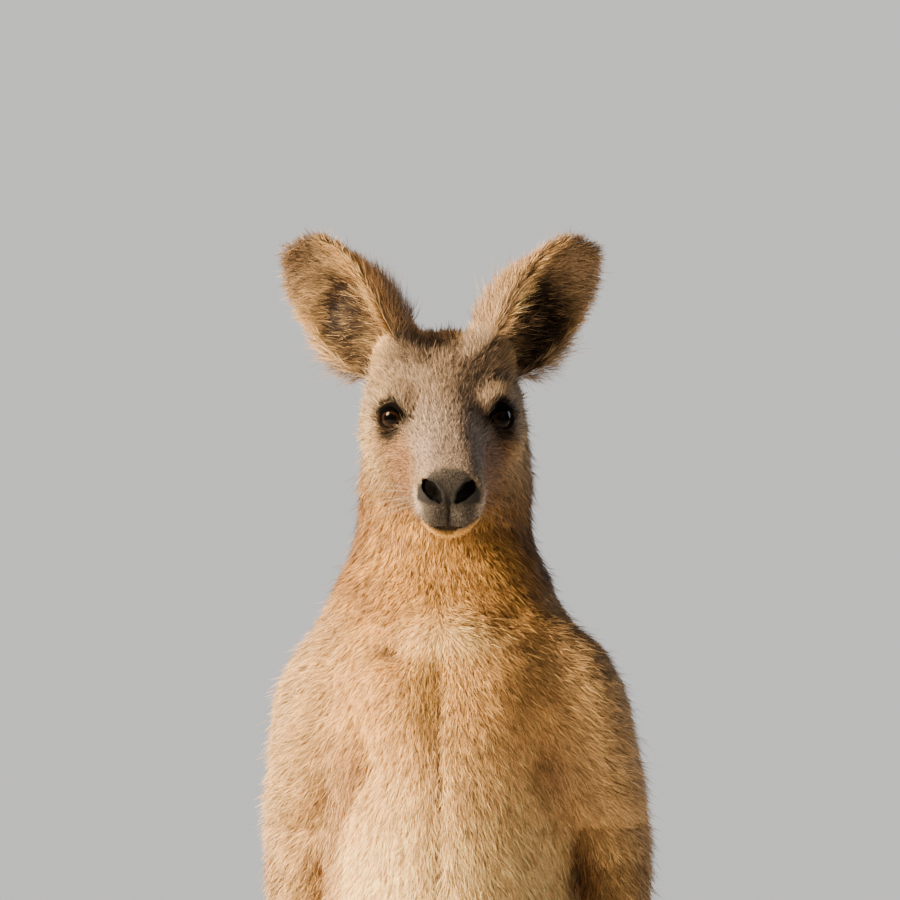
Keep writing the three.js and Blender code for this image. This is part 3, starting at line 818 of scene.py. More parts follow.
def toes_skin(side):
    """The toes of one foot, flat below."""
    tables = [on_side(table, side) for table in TOES.values()]
    pieces = [tube(table, DEPTH["toe"], rings=24, around=24, square=2.3) for table in tables]
    verts, tris = remeshed(pieces, GRAIN["toe"])
    verts = creases_filled(verts, tris, 6)
    verts = evened(verts, tris, 3)
    verts[:, 2] = np.maximum(verts[:, 2], 0.6)
    return placed(verts), tris


def whole_skin():
    """Every fleshy part as one surface, in the row frame."""
    verts, tris = head_skin()
    skin = united(body_skin(), (from_head(verts), tris))
    for name, side in SIDES.items():
        skin = united(skin, hand_skin(name))
        skin = united(skin, toes_skin(side))
    verts, tris = skin
    h = to_head(verts)
    nape = ease(h[:, 1], 12, 34) * ease(-np.linalg.norm(h - [0, 60, 60], axis=1), -150, -110)
    throat = ease(-h[:, 2], 36, 48) * ease(h[:, 1], -62, -40) * ease(h[:, 2], -130, -100)
    crown = ease(h[:, 2], 44, 52)
    join = (np.maximum(nape, throat) * (1 - crown))[:, None]
    verts = creases_filled(verts, tris, 30, join[:, 0])
    verts = evened(verts, tris, 30, join)
    verts[:, 2] = np.maximum(verts[:, 2], SOLE)
    return verts, tris


# ---- where a point lies on the body ----

def path_of(table, name=None, side=1, count=40):
    """Middle, way on and thickness at even steps along a table's path, in the own frame."""
    rows = blended(table, np.linspace(0, 1, count))
    centre = hung(rows[:, :3], name) if name else rows[:, :3] * [side, 1, 1]
    return centre, unit(np.gradient(centre, axis=0)), rows[:, 3:5].mean(1)


def paths():
    """The middle line of every part of the body: name, then centres, ways and thicknesses."""
    lines = {"trunk": path_of(TRUNK, count=60), "tail": path_of(TAIL, count=60)}
    for name, side in SIDES.items():
        lines["arm_" + name] = path_of(ARM, name)
        lines["hand_" + name] = path_of(PALM_PATH, name, count=12)
        lines["thigh_" + name] = path_of(THIGH, side=side)
        lines["shank_" + name] = path_of(SHANK[1:-1], side=side)
        lines["foot_" + name] = path_of(FOOT[:-1] + TOE_PATH, side=side)
    return lines


PATHS = paths()
LABELS = list(PATHS) + ["head", "ear_left", "ear_right"]
HEAD_PATH = [[0, -f, (t + b) / 2, w, (t - b) / 2] for f, w, t, b, _, _ in HEAD]


def nearest_on(points, path):
    """Relative distance to a path's nearest step, that step's share of the way and its direction."""
    centre, way, thick = path
    square = (points**2).sum(1)[:, None] - 2 * points @ centre.T + (centre**2).sum(1)
    relative = np.sqrt(np.maximum(square, 0)) / thick
    best = relative.argmin(1)
    return relative[np.arange(len(points)), best], best / (len(centre) - 1), way[best]


class Places:
    """For each point: how much it belongs to each part, how far along that part it is, and which way
    that part runs there."""

    def __init__(self, points):
        self.own = (points - OWN) / MM
        self.head = to_head(points)
        found = {name: nearest_on(self.own, path) for name, path in PATHS.items()}
        found["head"] = nearest_on(self.head, path_of(HEAD_PATH))
        self.ear = {}
        axis, open_, rim = ear_axes()
        steps = np.linspace(0, 1, 40)
        halves, radii = ear_roll(steps)
        for name, side in SIDES.items():
            arm = self.head * [side, 1, 1] - EAR_BASE
            along = arm @ axis / EAR_LENGTH
            radius = np.interp(along, steps, radii)
            half = np.interp(along, steps, halves)
            out = arm @ open_ - EAR_LEAN * along * np.abs(along) - 0.5 * radius
            over = arm @ rim
            reach = np.hypot(out, over)
            turn = np.arctan2(over, -out)
            across = turn * radius / np.maximum(half, 1)
            self.ear[name] = {"along": along, "across": across, "inner": reach < radius}
            gap = np.abs(reach - radius) / 8
            relative = np.where((along > -0.05) & (np.abs(turn) < 2.6), 0.62 + 0.3 * gap, 9)
            relative = relative + 3 * ease(-along, -0.1, 0.06)
            ways = np.tile(axis * [side, 1, 1], (len(arm), 1))
            found["ear_" + name] = (relative, np.clip(along, 0, 1), ways)
        relative = np.stack([found[name][0] for name in LABELS], 1)
        relative = relative - relative.min(1, keepdims=True)
        weight = np.exp(-((relative / 0.16) ** 1.4))
        self.weight = weight / weight.sum(1, keepdims=True)
        self.along = {name: found[name][1] for name in LABELS}
        self.way = {name: found[name][2] for name in LABELS}

    def share(self, name):
        """How much each point belongs to a part, both sides of a pair together."""
        picked = [k for k, label in enumerate(LABELS) if label.split("_")[0] == name]
        return self.weight[:, picked].sum(1)


def noise(points, seed):
    """Smooth random values from -1 to 1: random numbers on a lattice of steps of 1, blended between."""
    table = np.random.default_rng(seed).uniform(-1, 1, (32, 32, 32))
    low = np.floor(points).astype(int)
    u = points - low
    u = u * u * (3 - 2 * u)
    total = 0.0
    for corner in range(8):
        step = np.array([corner & 1, corner >> 1 & 1, corner >> 2])
        at = (low + step) % 32
        share = np.where(step, u, 1 - u).prod(1)
        total = total + share * table[at[:, 0], at[:, 1], at[:, 2]]
    return total


# ---- which way the coat lies, how long it is and how it is marked ----


def lie_of_coat(places, normals):
    """The direction of the hair: along each part from the body outwards; on the head back from the nose
    and outwards from the middle of the face; on the chest and arms outwards and down."""
    q, h = places.own, places.head
    height = q[:, 2:]
    flow = np.zeros_like(q)
    for k, label in enumerate(LABELS):
        way = places.way[label]
        kind, _, name = label.partition("_")
        sign = SIDES.get(name)
        if kind == "trunk":
            chest = ease(height, 900, 1000) * fade(height, 1075, 1130)
            out = np.clip(np.abs(q[:, :1] + 2) / 60, 0, 1) * np.sign(q[:, :1] + 3)
            way = np.hstack([out, 0 * out, 0 * out]) * (0.25 + 0.55 * chest) - way
            whorl = q - WHORL
            near = 0.5 - 0.5 * ease(np.linalg.norm(whorl[:, ::2], axis=1, keepdims=True), 8, 44)
            way = way * (1 - near) + 0.05 * whorl * [1, 0, 1] * near
        elif kind in ("arm", "hand"):
            sweep = 0.45 + 0.6 * ease(height, 890, 930) * fade(height, 1000, 1060)
            way = way + sweep * [sign, 0.2, 0]
        elif kind == "thigh":
            way = 0.5 * way + np.array([0, 0.1, -0.8])
        elif kind == "head":
            radial = np.stack([h[:, 0], 0 * h[:, 0], h[:, 2] + 8], 1)
            radial = radial / (np.linalg.norm(radial, axis=1, keepdims=True) + 12)
            cheek = ease(h[:, 1:2], -75, -10) * ease(-h[:, 2:], -24, 20)
            local = np.array([0, 1.0, 0]) + radial * 0.62 + cheek * [0, -0.45, -0.75]
            for eye in EYES.values():
                away = h - eye
                far = np.linalg.norm(away, axis=1, keepdims=True)
                local = local + away / far * 0.8 * fade(far, EYE_RADIUS + 2, EYE_RADIUS + 14)
            for side in SIDES.values():
                far = np.linalg.norm(h - [side * 46, 46, 50], axis=1)
                beside = fade(far, 8, 18)[:, None]
                local = local * (1 - beside) + beside * [0.15 * side, 1, 0.45]
            way = local @ HEAD_AXES
        elif kind == "ear":
            ear = places.ear[name]
            axis, _, rim = ear_axes()
            over = np.where(ear["inner"], 1.5 * ear["across"] + 0.2, 0.25 * ear["across"])
            on = np.where(ear["inner"], 0.3 + 1.3 * (ear["along"] - 0.2), 1)
            way = axis * [sign, 1, 1] * on[:, None] + rim * [sign, 1, 1] * over[:, None]
            way = way @ HEAD_AXES
        flow = flow + places.weight[:, k : k + 1] * unit(way)
    flow = unit(flow)
    return unit(flow - normals * (flow * normals).sum(1, keepdims=True))


def face_bare(h):
    """1 on the nose's pad and in the nostrils, the mouth and the lids' edges, where no hair grows."""
    forward, up = -h[:, 1], h[:, 2]
    side = h[:, 0] - NOSE_SIDE
    top = 13.2 - (np.abs(side) / 22.3) ** 3 * 16
    pad = ease(forward, 96, 101) * ease(up, -16, -12.5) * ease(top - up, -1, 1.5)
    pad = pad * ease(-np.abs(side), -25, -22.5)
    cleft = bell((side, 0, 1.6)) * ease(-up, 10, 14) * ease(up, -38, -34)
    cleft = cleft * ease(forward, 90, 100)
    wide = 1.0 + 3.4 * ease(-np.abs(side), -12, -2) * ease(forward, 92, 100)
    mouth = np.exp(-((mouth_rise(h) / wide) ** 4)) * ease(forward, 54, 62)
    bare = np.maximum(np.maximum(pad, cleft), mouth)
    for name in SIDES:
        reach, measure = lid_measure(h, name)
        lid = fade(measure, 1.16, 1.3) * (reach < EYE_RADIUS + 9)
        bare = np.maximum(bare, lid)
    return bare, pad, cleft, mouth


def mixed(colour, other, share):
    """One colour laid over another, by one share or by a share for each point."""
    return colour + (other - colour) * np.asarray(share)[..., None]


def layered(colour, *layers):
    """A colour with others laid over it in turn, each by its own share."""
    for other, share in layers:
        colour = mixed(colour, other, share)
    return colour


def blob(points, middle, size, power=2):
    """1 at a place in space, falling off around it by a size along each axis."""
    return np.exp(-(np.abs((points - middle) / size) ** power).sum(1))


def face_colour(h):
    """Grizzled taupe, paler on the bridge of the muzzle, over the eyes and at the tips of the cheeks;
    warm brown beside the muzzle, darkened there by painted shade; dark round the eyes; a dark nose,
    cleft and mouth, with painted shade making the nostrils near black inside; ochre chin; and painted
    light making the crown between the ears paler where the ears' shade falls."""
    side, back, up = h.T
    forward, off = -back, np.abs(side - NOSE_SIDE * ease(-back, 20, 100))
    blotch, rise = noise(h / 9, 31), mouth_rise(h)
    bridge = ease(forward, 8, 55) * ease(-off, -27, -20) * ease(up, -2, 12)
    beside = ease(forward, -10, 20) * fade(forward, 84, 98) * (1 - bridge)
    colour = layered(
        GRIZZLE,
        # warm brown cheek beside the muzzle, darkened further by painted shade for the muzzle's steep
        # sides
        (BROWN_WARM * 0.95, 0.85 * (beside * ease(off, 20, 27) * ease(-up, -16, 0))),
        (MUZZLE_GREY, bridge),
        (CREAM * 0.6, 0.65 * bell((off, 56, 16), (up, -28, 34), (back, 2, 34))),
        (CREAM * 0.7, (0.45 + 0.2 * blotch) * bell((off, 54, 15), (up, 36, 11), (back, 16, 24))),
        (EAR_BUFF * 0.8, 0.5 * bell((off, 60, 15), (up, 54, 13), (back, 28, 26))),
    )
    for sign in SIDES.values():
        foot = np.linalg.norm(h - [sign * 47, 46, 47], axis=1)
        colour = mixed(colour, EAR_BUFF * 0.62, 0.85 * fade(foot, 5, 21))
    lips = ease(forward, 84, 98) * ease(-up, 10, 16) * ease(rise, -1, 2)
    pads = ease(forward, 72, 92) * bell((up, -17, 8)) * ease(off, 19, 24)
    colour = layered(
        colour,
        (OCHRE, ease(-up + 5 * blotch, 34, 74) * fade(forward, 92, 104)),
        (LIP_GREY, lips),
        (WHISKER_PALE, 0.5 * np.clip(lips * ease(off, 16, 23) + pads, 0, 1)),
        (OCHRE * 1.15, ease(-rise, 1, 4) * ease(forward, 60, 90)),
        # painted light: the crown between the ears made paler buff where the ears cast their shade
        (EAR_BUFF * 1.25, 0.8 * (ease(up, 38, 50) * ease(back, 34, 58))),
        (GREY_BROWN, 0.7 * ease(back, 84, 120)),
    )
    for name, sign in SIDES.items():
        reach, measure = lid_measure(h, name)
        above = ease(up - EYES[name][2], 0, 8)
        ring = fade(measure, 1.2 + 0.06 * above, 1.5 + 0.1 * above) * (reach < EYE_RADIUS + 14)
        eye = (h - EYES[name]) * [sign, 1, 1]
        colour = layered(
            colour,
            (NEAR_BLACK * 0.35, ring),
            (DARK_BROWN * 0.5, np.clip(1.4 * blob(eye, [2, -9, -6], [9.5, 13, 6], 2.6), 0, 1)),
            (DARK_BROWN, 0.8 * blob(eye, [15, 4, 1], [7, 9, 3])),
            (DARK_BROWN, 0.4 * blob(eye, [-13, -10, -2], [5, 9, 3])),
        )
    _, pad, cleft, mouth = face_bare(h)
    return layered(
        colour,
        (NOSE_GREY, pad),
        (LIP_GREY, 0.85 * (pad * ease(up, -8, 12) * ease(nostril_gap(h), 1.5, 5))),
        # painted shade: the nostrils' insides near black, darker than the nose's skin, for the shade deep
        # in them
        (NEAR_BLACK * 0.12, in_nostril(h)),
        (NEAR_BLACK, np.maximum(cleft, mouth)),
    )


def in_nostril(h):
    """1 inside the nostrils and 0 outside them."""
    hole = ease(-nostril_gap(h), -1.2, 0.8) * ease(-h[:, 1], 84, 92)
    return hole * (h[:, 2] > -14.5)


def ear_hollow(ear, points):
    """1 in the dark hollow of the ear, ragged at its edge and pierced by paler strands, else 0."""
    along, across = ear["along"], ear["across"]
    ragged = 0.22 * noise(points / 3, 21) + 0.14 * noise(points / 9, 22)
    middle = 0.08 + 0.1 * ease(-along, -0.1, 0.3)
    wide = np.where(across > middle, 0.92 + 0.2 * ease(-along, -0.2, -0.05), 0.78)
    inside = np.abs((across - middle) / wide) ** 2.2 + np.abs((along - 0.2) / 0.54) ** 2.6
    strand = 1 - 0.6 * ease(noise(points / 1.3, 23), 0.25, 0.5)
    return ease(-inside + ragged, -1.05, -0.3) * strand * ear["inner"]


def ear_colour(ear, points):
    """Golden buff, with a ragged dark brown hollow that runs down to the foot behind the inner rim, a
    cream tuft low on that rim, and a taupe tip; the back is warm brown, and paler at the rims."""
    along, across = ear["along"], ear["across"]
    patch = ease(-across, 0.36, 0.58) * np.exp(-np.abs((along - 0.27) / 0.11) ** 2.4)
    inside = layered(
        EAR_BUFF,
        (TAUPE * 1.6, 0.8 * ease(along, 0.5, 0.85)),
        (EAR_DARK, ear_hollow(ear, points)),
        (EAR_BUFF * 1.15, ease(-across, 0.6, 0.78) * ease(along, 0.02, 0.14)),
        (mixed(CREAM, EAR_BUFF, 0.35), 0.9 * patch),
    )
    back = layered(
        mixed(BROWN_WARM, EAR_BUFF, 0.35),
        (EAR_BUFF, ease(np.abs(across), 0.7, 0.95)),
        (TAUPE * 1.9, 0.6 * fade(along, 0.1, 0.5)),
    )
    return np.where(ear["inner"][:, None], inside, back)


def trunk_colour(q, normals):
    """Tan breast with an olive stain, pale belly with a dark middle line of painted shade along its
    furrow, ochre throat mottled with brown, which comes down the breast as a V; warm brown flanks,
    grey-brown back. Painted shade darkens the band between the belly and each arm, the armpits and
    the folds of the breast, and a painted highlight lies in cream along the breast's crest."""
    x, _, z = q.T
    across, wide = np.abs(normals[:, 0]), np.abs(x + 4)
    mottle = noise(q / 11, 41) + 0.6 * noise(q / 5, 42)
    front = ease(-normals[:, 1] + 0.25 * fade(z, 960, 1040) * across, -0.15, 0.5)
    dapple = ease(z, 1040, 1080) * ease(wide + 16 * mottle, 12, 46)
    line = bell((x, -4, 1.6)) * ease(z, 640, 720) * fade(z, 1000, 1030)
    beside = ease(np.abs(x - 5) - arm_line(z), -7, 5) * ease(z, 770, 860) * fade(z, 950, 985)
    fold = bell((x, -37, 10), (z - 1038 + 0.3 * (x + 37), 0, 4.5))
    fold = fold + 0.6 * bell((x, 44, 7), (z - 1066 + 0.9 * (x - 44), 0, 5))
    pale = layered(
        TAN,
        (PALE_TAN, fade(z, 860, 1010)),
        # painted highlight: a cream band along the crest of the breast, as light on its top
        (CREAM * 1.1, 0.6 * bell((x, 4, 30), (z, 1049, 13))),
        (OLIVE_STAIN, 0.5 * bell((x, -6, 17), (z, 1008, 32))),
        (OCHRE, ease(z + 0.45 * wide + 7 * mottle, 1062, 1100)),
        (BROWN_WARM * 0.9, 0.55 * dapple * ease(mottle, -0.5, 0.7)),
        # painted shade: a dark line down the middle of the breast and belly, for the shade in their
        # furrow
        (BROWN_WARM * 0.6, 0.85 * line),
        (BROWN_WARM * 0.8, 0.7 * (ease(across, 0.5, 0.95) * ease(z, 1040, 1100))),
        # painted shade: a warm brown band where the belly meets the inner side of each arm, for the shade
        # in that crease
        (BROWN_WARM * 1.3, 0.6 * beside),
        # painted shade: a darker warm brown spot in each armpit
        (BROWN_WARM, 0.35 * bell((np.abs(x - 5), 70, 11), (z, 946, 22))),
        # painted shade: the breast's two folds darkened over the notches that breast_shaped sinks
        (BROWN_WARM * 0.5, 0.9 * fold),
    )
    return layered(GREY_BROWN, (BROWN_WARM, ease(z, 960, 1060) * 0.5), (pale, front))


def coat_colour(places, normals):
    """The markings at each point, with the painted shade and highlights laid among them, the same for
    skin and coat.
    """
    q = places.own
    colour = np.zeros_like(q)
    for k, label in enumerate(LABELS):
        weight = places.weight[:, k : k + 1]
        if weight.max() < 1e-3:
            continue
        kind, _, name = label.partition("_")
        sign = SIDES.get(name, 1)
        t = places.along[label]
        outer = ease(sign * normals[:, 0] + 0.4 * normals[:, 1], -0.3, 0.6)
        if kind == "trunk":
            own = trunk_colour(q, normals)
        elif kind == "tail":
            under = ease(-normals[:, 2], 0.0, 0.7) * 0.6
            own = layered(GREY_BROWN, (TAN * 0.75, under), (DARK_BROWN * 0.6, ease(t, 0.62, 0.86)))
        elif kind == "arm":
            inner = ease(-sign * normals[:, 0], 0.1, 0.75) * fade(q[:, 2], 950, 985)
            own = layered(
                mixed(TAN, PALE_TAN, 0.5) * 0.86,
                (TAUPE * 1.8, 0.5 * outer * (1 + 0.5 * noise(q / 8, 51))),
                # painted shade: the inner side of each arm, facing the belly, darkened to warm brown
                (BROWN_WARM * 1.5, 0.6 * inner),
                (TAUPE * 1.5, 0.85 * ease(normals[:, 1], -0.1, 0.7)),
                (DARK_BROWN, ease(t, 0.86, 1.0)),
            )
        elif kind == "hand":
            own = DARK_BROWN * 0.8
        elif kind == "thigh":
            own = mixed(PALE_TAN * 0.8, GREY_BROWN * 1.15, outer)
        elif kind == "shank":
            own = layered(TAUPE, (GREY_BROWN, outer), (DARK_BROWN, ease(t, 0.75, 1.0)))
        elif kind == "foot":
            own = mixed(DARK_BROWN, NEAR_BLACK * 1.6, ease(t, 0.45, 0.8))
        elif kind == "head":
            own = face_colour(places.head)
        else:
            own = ear_colour(places.ear[name], places.head)
        colour = colour + weight * own
    return colour


def coat_measures(places, normals):
    """Length, width, lift, number of tufts, and the tones of their roots and tips, at each point."""
    q, h = places.own, places.head
    back, high = h[:, 1], h[:, 2]
    total = np.zeros((len(q), 6))
    for k, label in enumerate(LABELS):
        kind, _, name = label.partition("_")
        lengths, *rest = COAT[kind]
        own = np.interp(places.along[label], np.linspace(0, 1, len(lengths)), lengths)
        wide, up, many, root, tip = (np.full(len(q), float(value)) for value in rest)
        if kind == "trunk":
            seen = ease(q[:, 2], 790, 880) * ease(-normals[:, 1], -0.5, 0.2)
            throat = ease(q[:, 2], 1040, 1090)
            many += 0.74 * seen
            wide -= 0.44 * seen
            root -= 0.3 * throat
            tip += 0.15 * throat
            up += 6 * throat
        elif kind == "arm":
            up += 8 * ease(SIDES[name] * normals[:, 0], 0.3, 0.9)
        elif kind == "head":
            cheek = ease(back, -46, 20) * ease(-high, 4, 46)
            crown = ease(high, 38, 56) * ease(back, 10, 50)
            temple = bell((np.abs(h[:, 0]), 54, 12), (back, 32, 14), (high, 28, 12))
            own = own + 5.5 * cheek + 6 * temple
            own *= 1 - 0.45 * ease(-back, 92, 102)
            up = up + 14 * cheek + 16 * crown + 14 * temple
            # painted light: the crown's tufts are paler at root and tip where the ears cast their shade
            root += 0.35 * crown
            tip += 0.25 * crown
            bare, pad, _, _ = face_bare(h)
            grey = pad * ease(high, -8, 8) * ease(nostril_gap(h), 1.5, 4)
            many -= 1.3 * ease(back, 30, 80)
            many *= 1 - np.clip(bare - 0.8 * grey, 0, 1)
        elif kind == "ear":
            ear = places.ear[name]
            rim = ease(np.abs(ear["across"]), 0.7, 0.95)
            fluff = (1 - ear["inner"]) * fade(ear["along"], 0.3, 0.6)
            own = own + 1.5 * ear["inner"] * (1 - rim) + 1.5 * rim
            own += 8 * fluff
            up += 22 * fluff
            many += rim
            root += 0.2 * (1 - ear["inner"])
            tip -= 0.5 * ear_hollow(ear, h)
        total += places.weight[:, k : k + 1] * np.stack([own, wide, up, many, root, tip], 1)
    length, width, lift, crowd, root, tip = total.T
    sole = ease(-normals[:, 2], 0.6, 0.85) * ease(-q[:, 2], -14, -6)
    return length, width, np.radians(lift), crowd * (1 - sole), root, tip


# ---- the unwrap ----

def unwrap(verts, tris, labels):
    """A place on the map for every corner: each part is seen from the six sides its faces look to, and
    the views are laid out on shelves at one scale. Also gives each view's own corner and its offset."""
    a, b, c = (verts[tris[:, k]] for k in range(3))
    normal = np.cross(b - a, c - a)
    axis = np.abs(normal).argmax(1)
    facing = normal[np.arange(len(tris)), axis] > 0
    chart = labels * 6 + axis * 2 + facing
    flat = np.array([[1, 2], [0, 2], [0, 1]])
    names, chart = np.unique(chart, return_inverse=True)
    planes = flat[(names % 6) // 2]
    low, high = np.empty((len(names), 2)), np.empty((len(names), 2))
    for k in range(len(names)):
        points = verts[tris[chart == k]][..., planes[k]].reshape(-1, 2)
        low[k], high[k] = points.min(0), points.max(0)
    size = high - low + 0.012
    width = math.sqrt(size.prod(1).sum()) * 1.12
    offset = np.empty((len(names), 2))
    x = y = shelf = 0.0
    for k in np.argsort(-size[:, 1]):
        if x + size[k, 0] > width:
            x, y, shelf = 0.0, y + shelf, 0.0
        offset[k] = [x + 0.006, y + 0.006]
        x += size[k, 0]
        shelf = max(shelf, size[k, 1])
    scale = 1 / max(width, y + shelf)
    return {"chart": chart, "planes": planes, "low": low, "offset": offset, "scale": scale}


def on_map(unwrapped, points, triangle):
    """Where points lying on the given triangles fall on the map."""
    k = unwrapped["chart"][triangle]
    plane = unwrapped["planes"][k]
    flat = np.take_along_axis(points, plane, axis=1)
    return (flat - unwrapped["low"][k] + unwrapped["offset"][k]) * unwrapped["scale"]


# ---- the coat ----

def roots_on(verts, tris, normals, crowd):
    """Random places on the surface, as many to each square millimetre as crowd says."""
    corner = verts[tris]
    area = np.linalg.norm(np.cross(corner[:, 1] - corner[:, 0], corner[:, 2] - corner[:, 0]), axis=1) / 2
    many = area / MM**2 * crowd[tris].mean(1)
    total = int(many.sum())
    triangle = np.searchsorted(np.cumsum(many) / many.sum(), draw.random(total))
    triangle = np.minimum(triangle, len(tris) - 1)
    u, v = draw.random((2, total))
    over = u + v > 1
    u[over], v[over] = 1 - u[over], 1 - v[over]
    share = np.stack([1 - u - v, u, v], 1)[..., None]
    return (corner[triangle] * share).sum(1), unit((normals[tris[triangle]] * share).sum(1)), triangle


def tufts(roots, normals, flow, length, width, lift, colour, ends, spot):
    """Pointed leaves: each rises from its root at its lift, is widest 0.4 of the way along, bends over
    there and ends in a point. Returns vertices, normals, colours and map places, four to a leaf."""
    n = len(roots)
    across = np.cross(flow, normals)
    roll = draw.normal(0, 0.6, n)[:, None]
    flat = unit(across + normals * roll)
    rise, run = (np.sin(lift) * length)[:, None], (np.cos(lift) * length)[:, None]
    sway = across * (draw.normal(0, 0.07, n) * length)[:, None]
    middle = roots + flow * run * 0.4 + normals * rise * 0.55 + sway * 0.25
    tip = roots + flow * run + normals * rise * 0.86 + sway
    wide = flat * (width / 2)[:, None]
    sunk = roots - normals * (0.4 * MM)
    verts = np.stack([sunk, middle - wide, middle + wide, tip], 1)
    verts[..., 2] = np.maximum(verts[..., 2], 0.3 * MM)
    own = unit(np.cross(flat, tip - roots))
    own = own * np.sign((own * normals).sum(1, keepdims=True))
    shade = unit(normals + 0.75 * own + flow * 0.2)
    light = np.stack([ends[0], np.ones(n), np.ones(n), ends[1]], 1)[..., None]
    tone = np.clip(colour[:, None] * light, 0, 1)
    tone = np.concatenate([tone, np.ones((n, 4, 1))], 2)
    places = spot[:, None] + PATCH * np.array([[0, 0], [-0.5, 0.4], [0.5, 0.4], [0, 1]])
    return verts.reshape(-1, 3), np.repeat(shade, 4, 0), tone.reshape(-1, 4), places.reshape(-1, 2)


def coat(verts, tris, normals, crowd, unwrapped):
    """Every tuft of the coat, gathered in locks: neighbours share a lean, a length and a tone. A few
    are longer and stand up; some are dark and some are pale, the more so where the coat is grizzled."""
    roots, normal, triangle = roots_on(verts, tris, normals, crowd)
    places = Places(roots)
    flow = lie_of_coat(places, normal)
    length, width, lift, _, root, tip = coat_measures(places, normal)
    colour = coat_colour(places, normal)
    n = len(roots)
    head = np.maximum(places.share("head"), 0.7 * places.share("ear"))
    lock = roots / np.where(head > 0.5, HEAD_LOCK, BODY_LOCK)[:, None]
    bend = 0.22 * noise(lock, 3) + 0.24 * noise(lock * 2.7, 4)
    bend = bend + draw.normal(0, 0.24, n)
    flow = unit(flow + np.cross(flow, normal) * bend[:, None])
    lift = lift * (1 + 0.3 * noise(lock * 1.4, 5) + draw.normal(0, 0.28, n))
    size = length * MM * (1 + 0.14 * noise(lock, 6) + draw.normal(0, 0.17, n))
    guard = draw.random(n) < GUARD_HAIRS
    size = np.where(guard, size * 1.4, size)
    lift = np.where(guard, lift * 1.5, lift)
    tone = 1 + 0.2 * noise(lock * 1.8, 7) + draw.normal(0, 0.24, n)
    pick = draw.random(n)
    grizzle = 0.75 + 0.4 * head + 0.4 * ease(places.own[:, 2], 1040, 1090) * places.share("trunk")
    tone = np.where(pick < DARK_BELOW, tone * (1 - 0.5 * grizzle), tone)
    tone = np.where(pick > PALE_ABOVE, tone * (1 + 0.5 * grizzle), tone)
    colour = colour * np.clip(tone, 0.3, 2.0)[:, None]
    spot = on_map(unwrapped, roots, triangle)
    lift = np.clip(lift, 0.05, 1.2)
    return tufts(roots, normal, flow, np.maximum(size, MM), width * MM, lift, colour, (root, tip), spot)


# ---- materials ----

class Nodes:
    """The nodes of a material or a world and the links between them. A setting is given to a node's
    property or input by name, or to an input by in_ and its number; another node's output is linked."""

    def __init__(self, owner, shader="Principled BSDF", out="Material Output", **settings):
        self.owner = owner
        owner.use_nodes = True
        self.tree = owner.node_tree
        self.shader, self.out = self.tree.nodes[shader], self.tree.nodes[out]
        self.place = None
        self.set(**settings)

    def put(self, node, key, value):
        if hasattr(node, key) and key not in node.inputs:
            setattr(node, key, value)
            return
        socket = node.inputs[int(key[3:]) if key.startswith("in_") else key.replace("_", " ")]
        if isinstance(value, bpy.types.NodeSocket):
            self.tree.links.new(value, socket)
        else:
            socket.default_value = value

    def set(self, **settings):
        for key, value in settings.items():
            self.put(self.shader, key, value)

    def add(self, kind, out=0, **settings):
        node = self.tree.nodes.new("ShaderNode" + kind)
        for key, value in settings.items():
            self.put(node, key, value)
        return node.outputs[out]

    def texture(self, kind, out, **settings):
        """A texture laid out in the object's own space."""
        if self.place is None:
            self.place = self.add("TexCoord", "Object")
        return self.add("Tex" + kind, out, Vector=self.place, **settings)

    def ramp(self, value, *stops):
        """A ramp through colours; each stop is where it stands and its colour."""
        node = self.tree.nodes.new("ShaderNodeValToRGB")
        elements = node.color_ramp.elements
        while len(elements) < len(stops):
            elements.new(0.5)
        for element, (at, colour) in zip(elements, stops):
            element.position = at
            element.color = (*colour, 1)
        self.put(node, "Fac", value)
        return node.outputs["Color"]

    def streaked(self, value, low, high):
        """The coat's own colour, made darker and lighter by a noise."""
        hue = self.add("Attribute", "Color", attribute_name="coat")
        level = self.add("MapRange", "Result", Value=value, To_Min=low, To_Max=high)
        return self.add("VectorMath", "Vector", operation="SCALE", in_0=hue, Scale=level)

    def blended_with(self, share, other):
        """Ends in the node's own shader mixed with another by a share. Returns the owner."""
        both = self.add("MixShader", in_0=share, in_1=self.shader.outputs[0], in_2=other)
        self.put(self.out, "Surface", both)
        return self.owner


def coat_material():
    """Hair: the tuft's own colour, a little uneven along it, dull, and letting some light through."""
    nodes = Nodes(bpy.data.materials.new("hair"), Roughness=0.6, Specular_IOR_Level=0.16)
    shade = nodes.streaked(nodes.texture("Noise", "Fac", Scale=420.0, Detail=2.0), 0.78, 1.22)
    nodes.set(Base_Color=shade)
    return nodes.blended_with(0.22, nodes.add("BsdfTranslucent", Color=shade))


def skin_material():
    """Skin under the coat in the coat's markings, streaked like lying hair; pebbled and slightly moist
    where it is bare."""
    nodes = Nodes(bpy.data.materials.new("skin"), Specular_IOR_Level=0.03)
    fine = nodes.texture("Noise", "Fac", Scale=900.0, Detail=3.0)
    pebble = nodes.texture("Voronoi", "Distance", Scale=780.0)
    shade = nodes.streaked(fine, 0.6, 1.15)
    bare = nodes.add("Attribute", "Fac", attribute_name="bare")
    rough = nodes.add("MapRange", "Result", Value=bare, To_Min=0.95, To_Max=0.5)
    relief = nodes.add("Mix", data_type="FLOAT", in_0=bare, in_2=fine, in_3=pebble)
    bump = nodes.add("Bump", "Normal", Height=relief, Strength=0.5, Distance=0.0006)
    nodes.set(Base_Color=shade, Roughness=rough, Normal=bump)
    return nodes.owner


